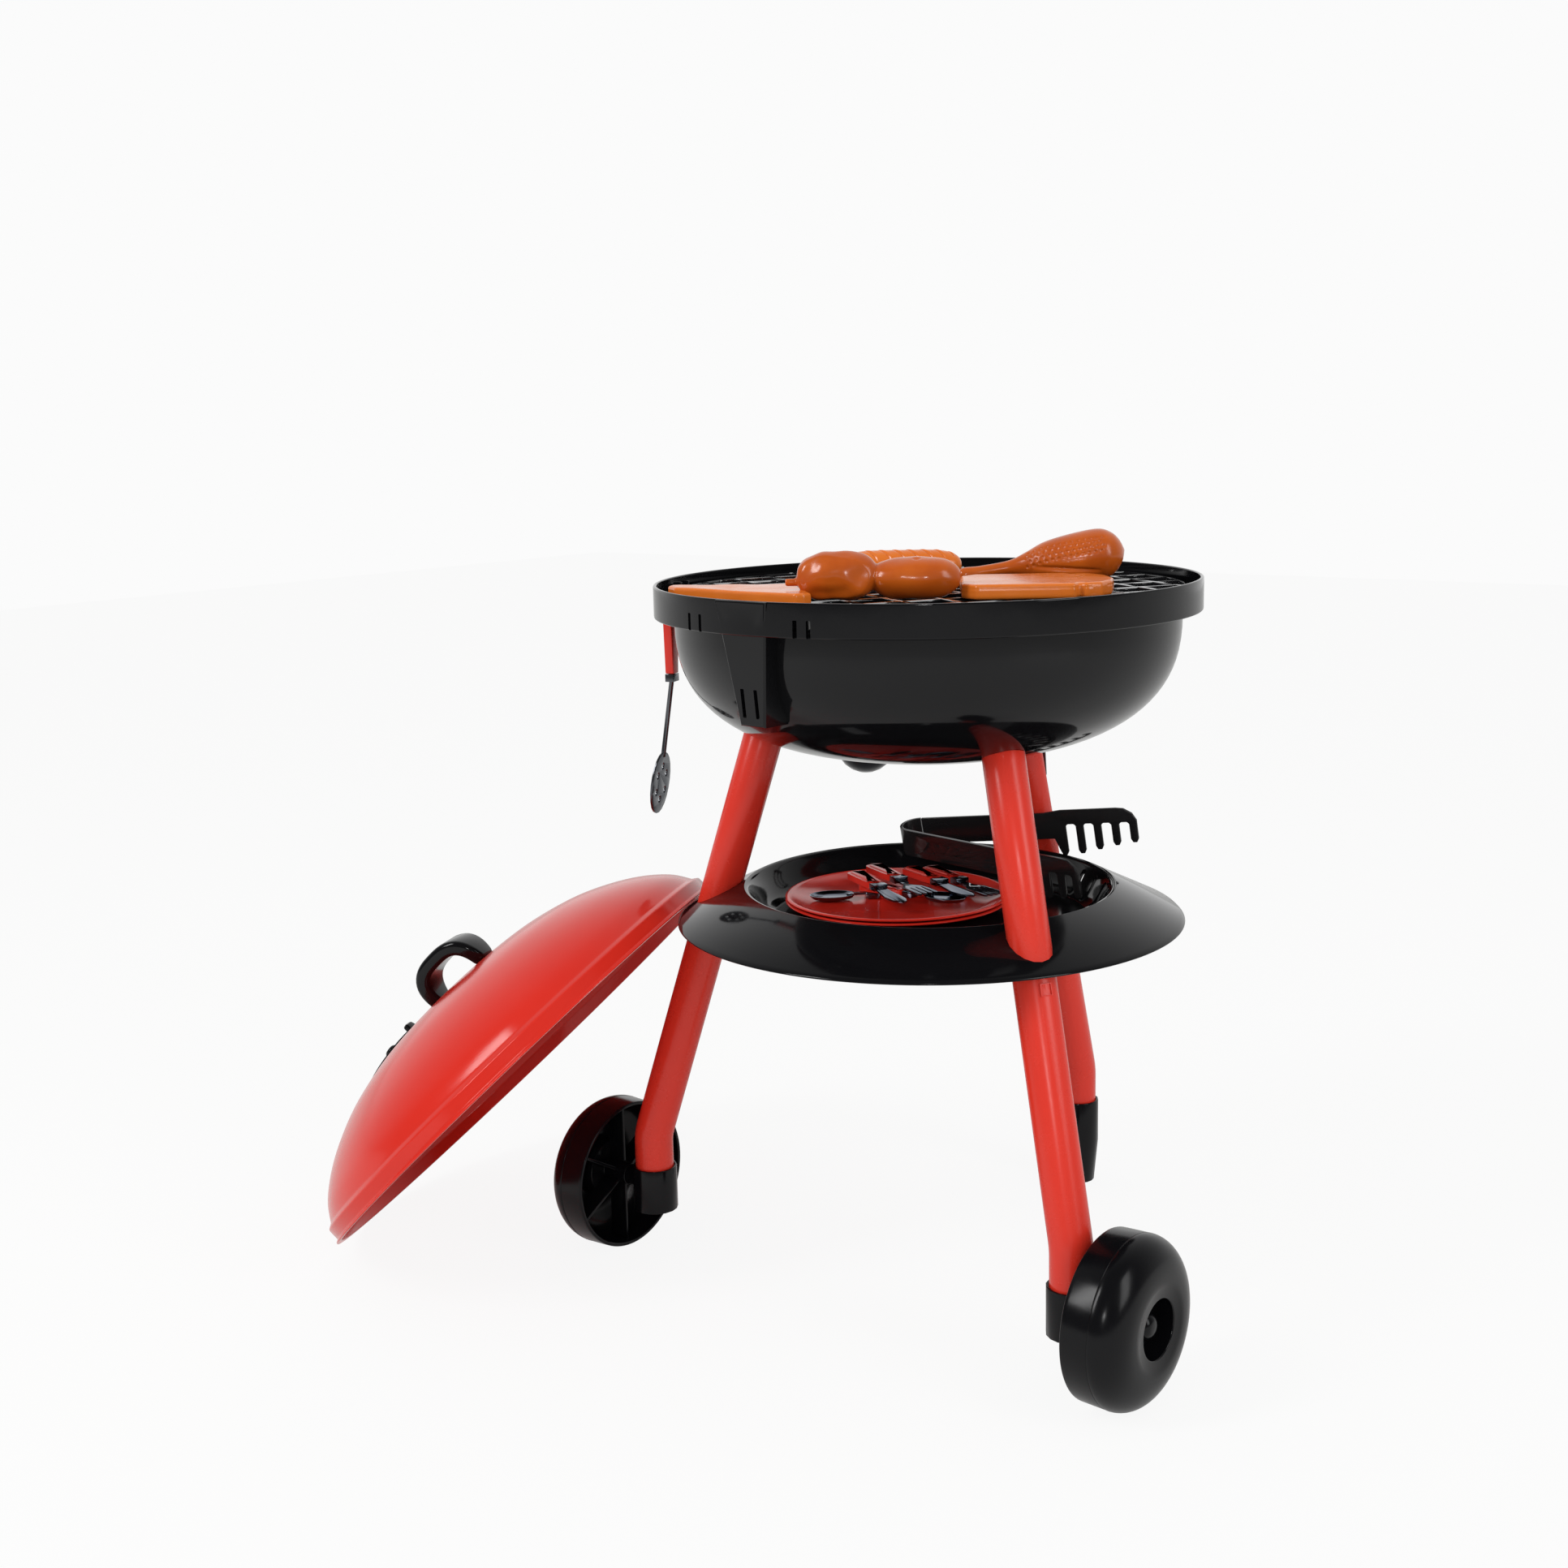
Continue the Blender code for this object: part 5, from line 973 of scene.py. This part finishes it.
def make_tongs():
    """Tongs with two staggered rows of finger dimples on the near arm."""
    pose = stand @ slide(-75 * MM, 97 * MM, SHELF_FLOOR + 22.2 * MM)
    for angle, axis in ((4.7, "Z"), (-2.33, "Y"), (12.44, "X")):
        pose = pose @ turn(math.radians(angle), axis)
    near = pose @ turn(math.radians(-13.5), "Z") @ slide(0, -12.8 * MM, 0)
    rows, low_row, row_pitch, dimples, first, pitch = 2, 7.2, 8, 5, 17, 11.5
    radii, skin = (2.3 * MM, 2 * MM, 2.3 * MM), -2.9 * MM
    arm = refined("tongs_near_arm", 0.6 * MM, 3)
    for row in range(rows):
        for i in range(dimples):
            along = (first + pitch * i + pitch / 2 * row) * MM
            spot = near @ slide(along, skin, (low_row + row_pitch * row) * MM)
            carve(arm, pebble("dimple", radii, spot))
    finish(arm, tongs_pp, "tongs_near_arm")
    finish(refined("tongs_far_arm", 0.6 * MM, 3), tongs_pp, "tongs_far_arm")


def make_tools():
    """Hooks, red handles and chromed heads of the three hanging tools."""
    for tool in TOOL_TURNS:
        finish(refined("hook_" + tool, 0.5 * MM), black_pp, "hook_" + tool)
        finish(refined(tool + "_handle", 1.3 * MM, 3, 50), red_abs, tool + "_handle")
        head = refined(tool + "_head", 0.25 * MM, 2, 50)
        # Spatula and turner heads take steel darkened as painted shade; the ladle's is black
        # chrome.
        finish(head, black_steel if tool == "ladle" else shaded_tool_steel, tool + "_head", 45)


make_bowl()
make_shelf()
make_legs()
make_wheels()
make_lid()
make_handle()
make_grate()
make_flat_food()
make_kebab()
make_sausage()
make_drumstick()
make_plates()
make_cutlery()
make_tongs()
make_tools()


# The floor, the light and the photograph's camera.

def look_at(obj, spot):
    """Turns an object's -Z towards a spot."""
    obj.rotation_euler = (Vector(spot) - obj.location).to_track_quat("-Z", "Y").to_euler()


def softbox(name, spot, size, power):
    """A rectangular lamp, its size in metres and its power in watts, that lights the middle of
    the grill."""
    lamp = bpy.data.lights.new(name, "AREA")
    lamp.shape = "RECTANGLE"
    lamp.size, lamp.size_y = size
    lamp.energy = power
    obj = bpy.data.objects.new(name, lamp)
    obj.location = AXIS + Vector(spot)
    bpy.context.scene.collection.objects.link(obj)
    look_at(obj, AXIS + Vector((0, 0, 0.3)))


def mirror_rays(tree, seen):
    """1 for rays that a mirror or a clear piece sends on, and 0 for the others."""
    return add(tree, "ShaderNodeMath", {0: seen["Is Glossy Ray"], 1: seen["Is Transmission Ray"]},
               operation="MAXIMUM").outputs[0]


def make_floor():
    """A pale floor that stays white to the eye and keeps a faint shadow."""
    glow_share, share_in_mirrors, white = 0.9, 0.3, linear("#FFFFFF")
    let_go()
    bpy.ops.mesh.primitive_plane_add(size=12, location=(0, 0, 0))
    floor = bpy.context.object
    floor.name = "studio_floor"
    paint, tree, surface = blank("matt_white_floor_paint")
    seen = add(tree, "ShaderNodeLightPath").outputs
    partly = add(tree, "ShaderNodeMath", {0: mirror_rays(tree, seen), 1: share_in_mirrors},
                 operation="MULTIPLY")
    any_ray = add(tree, "ShaderNodeMath", {0: partly.outputs[0], 1: seen["Is Camera Ray"]},
                  operation="MAXIMUM")
    share = add(tree, "ShaderNodeMath", {0: any_ray.outputs[0], 1: glow_share},
                operation="MULTIPLY")
    glow = add(tree, "ShaderNodeEmission", {"Color": white, "Strength": 1.0})
    surface.inputs["Base Color"].default_value = linear("#E4E4E2")
    surface.inputs["Roughness"].default_value = 0.9
    mix = add(tree, "ShaderNodeMixShader", {0: share.outputs[0], 1: surface.outputs[0],
                                            2: glow.outputs[0]})
    tree.links.new(mix.outputs[0], tree.nodes["Material Output"].inputs["Surface"])
    floor.data.materials.append(paint)


def make_sky():
    """A white sky to the eye. Mirrors see it bright beyond the grill, and dark on the camera's
    side as a dim room would be."""
    eye_level, lamp_level, dark_level = 0.965, 0.62, 0.13
    camera_way, beyond, beside = (0.572, -0.820, 0), -0.95, 0.1
    world = bpy.data.worlds.new("white_studio")
    world.use_nodes = True
    bpy.context.scene.world = world
    tree = world.node_tree
    seen = add(tree, "ShaderNodeLightPath").outputs
    way = add(tree, "ShaderNodeTexCoord").outputs["Generated"]
    side = add(tree, "ShaderNodeVectorMath", {0: way, 1: camera_way}, operation="DOT_PRODUCT")
    room = add(tree, "ShaderNodeMapRange", {"Value": side.outputs["Value"], "From Min": beyond,
                                            "From Max": beside, "To Min": eye_level,
                                            "To Max": dark_level})
    plain = add(tree, "ShaderNodeMapRange", {"Value": seen["Is Camera Ray"], "To Min": lamp_level,
                                             "To Max": eye_level})
    level = add(tree, "ShaderNodeMix", {"Factor": mirror_rays(tree, seen),
                                        "A": plain.outputs["Result"],
                                        "B": room.outputs["Result"]})
    sky = tree.nodes["Background"]
    sky.inputs["Color"].default_value = linear("#FFFFFF")
    tree.links.new(level.outputs["Result"], sky.inputs["Strength"])


def make_lamps():
    """One large lamp high on the left, a tall one at the right, and a small one from the front."""
    softbox("lamp_left", (-0.9, -1.9, 1.7), (0.5, 1.2), 22)
    softbox("lamp_right", (2.2, -0.1, 1.3), (0.7, 1.6), 14)
    softbox("lamp_front", (1.3, -1.9, 0.9), (0.16, 0.16), 4)


def make_camera():
    """The photograph's camera, from the lines of the legs, the two rims and the wheels."""
    pitch, yaw, roll = 0.183, -0.0727, -0.0234
    focal_pixels, frame_pixels, sensor_width = 2476.2, 1932, 36
    ahead = Vector((math.sin(yaw) * math.cos(pitch), math.cos(yaw) * math.cos(pitch),
                    -math.sin(pitch)))
    right = Vector((math.cos(yaw), -math.sin(yaw), 0))
    up = right.cross(ahead)
    right, up = (right * math.cos(roll) + up * math.sin(roll),
                 up * math.cos(roll) - right * math.sin(roll))
    pose = Matrix((right, up, -ahead)).transposed().to_4x4()
    pose.translation = (0, -1.4808, 0.6569)
    lens = bpy.data.cameras.new("photo_camera")
    lens.sensor_width = sensor_width
    lens.lens = focal_pixels / frame_pixels * sensor_width
    lens.clip_start = 0.01
    camera = bpy.data.objects.new("photo_camera", lens)
    camera.matrix_world = stand @ turn(PHOTO_TURN, "Z") @ pose
    bpy.context.scene.collection.objects.link(camera)
    bpy.context.scene.camera = camera


make_floor()
make_sky()
make_lamps()
make_camera()
bpy.context.scene.view_settings.view_transform = "Standard"
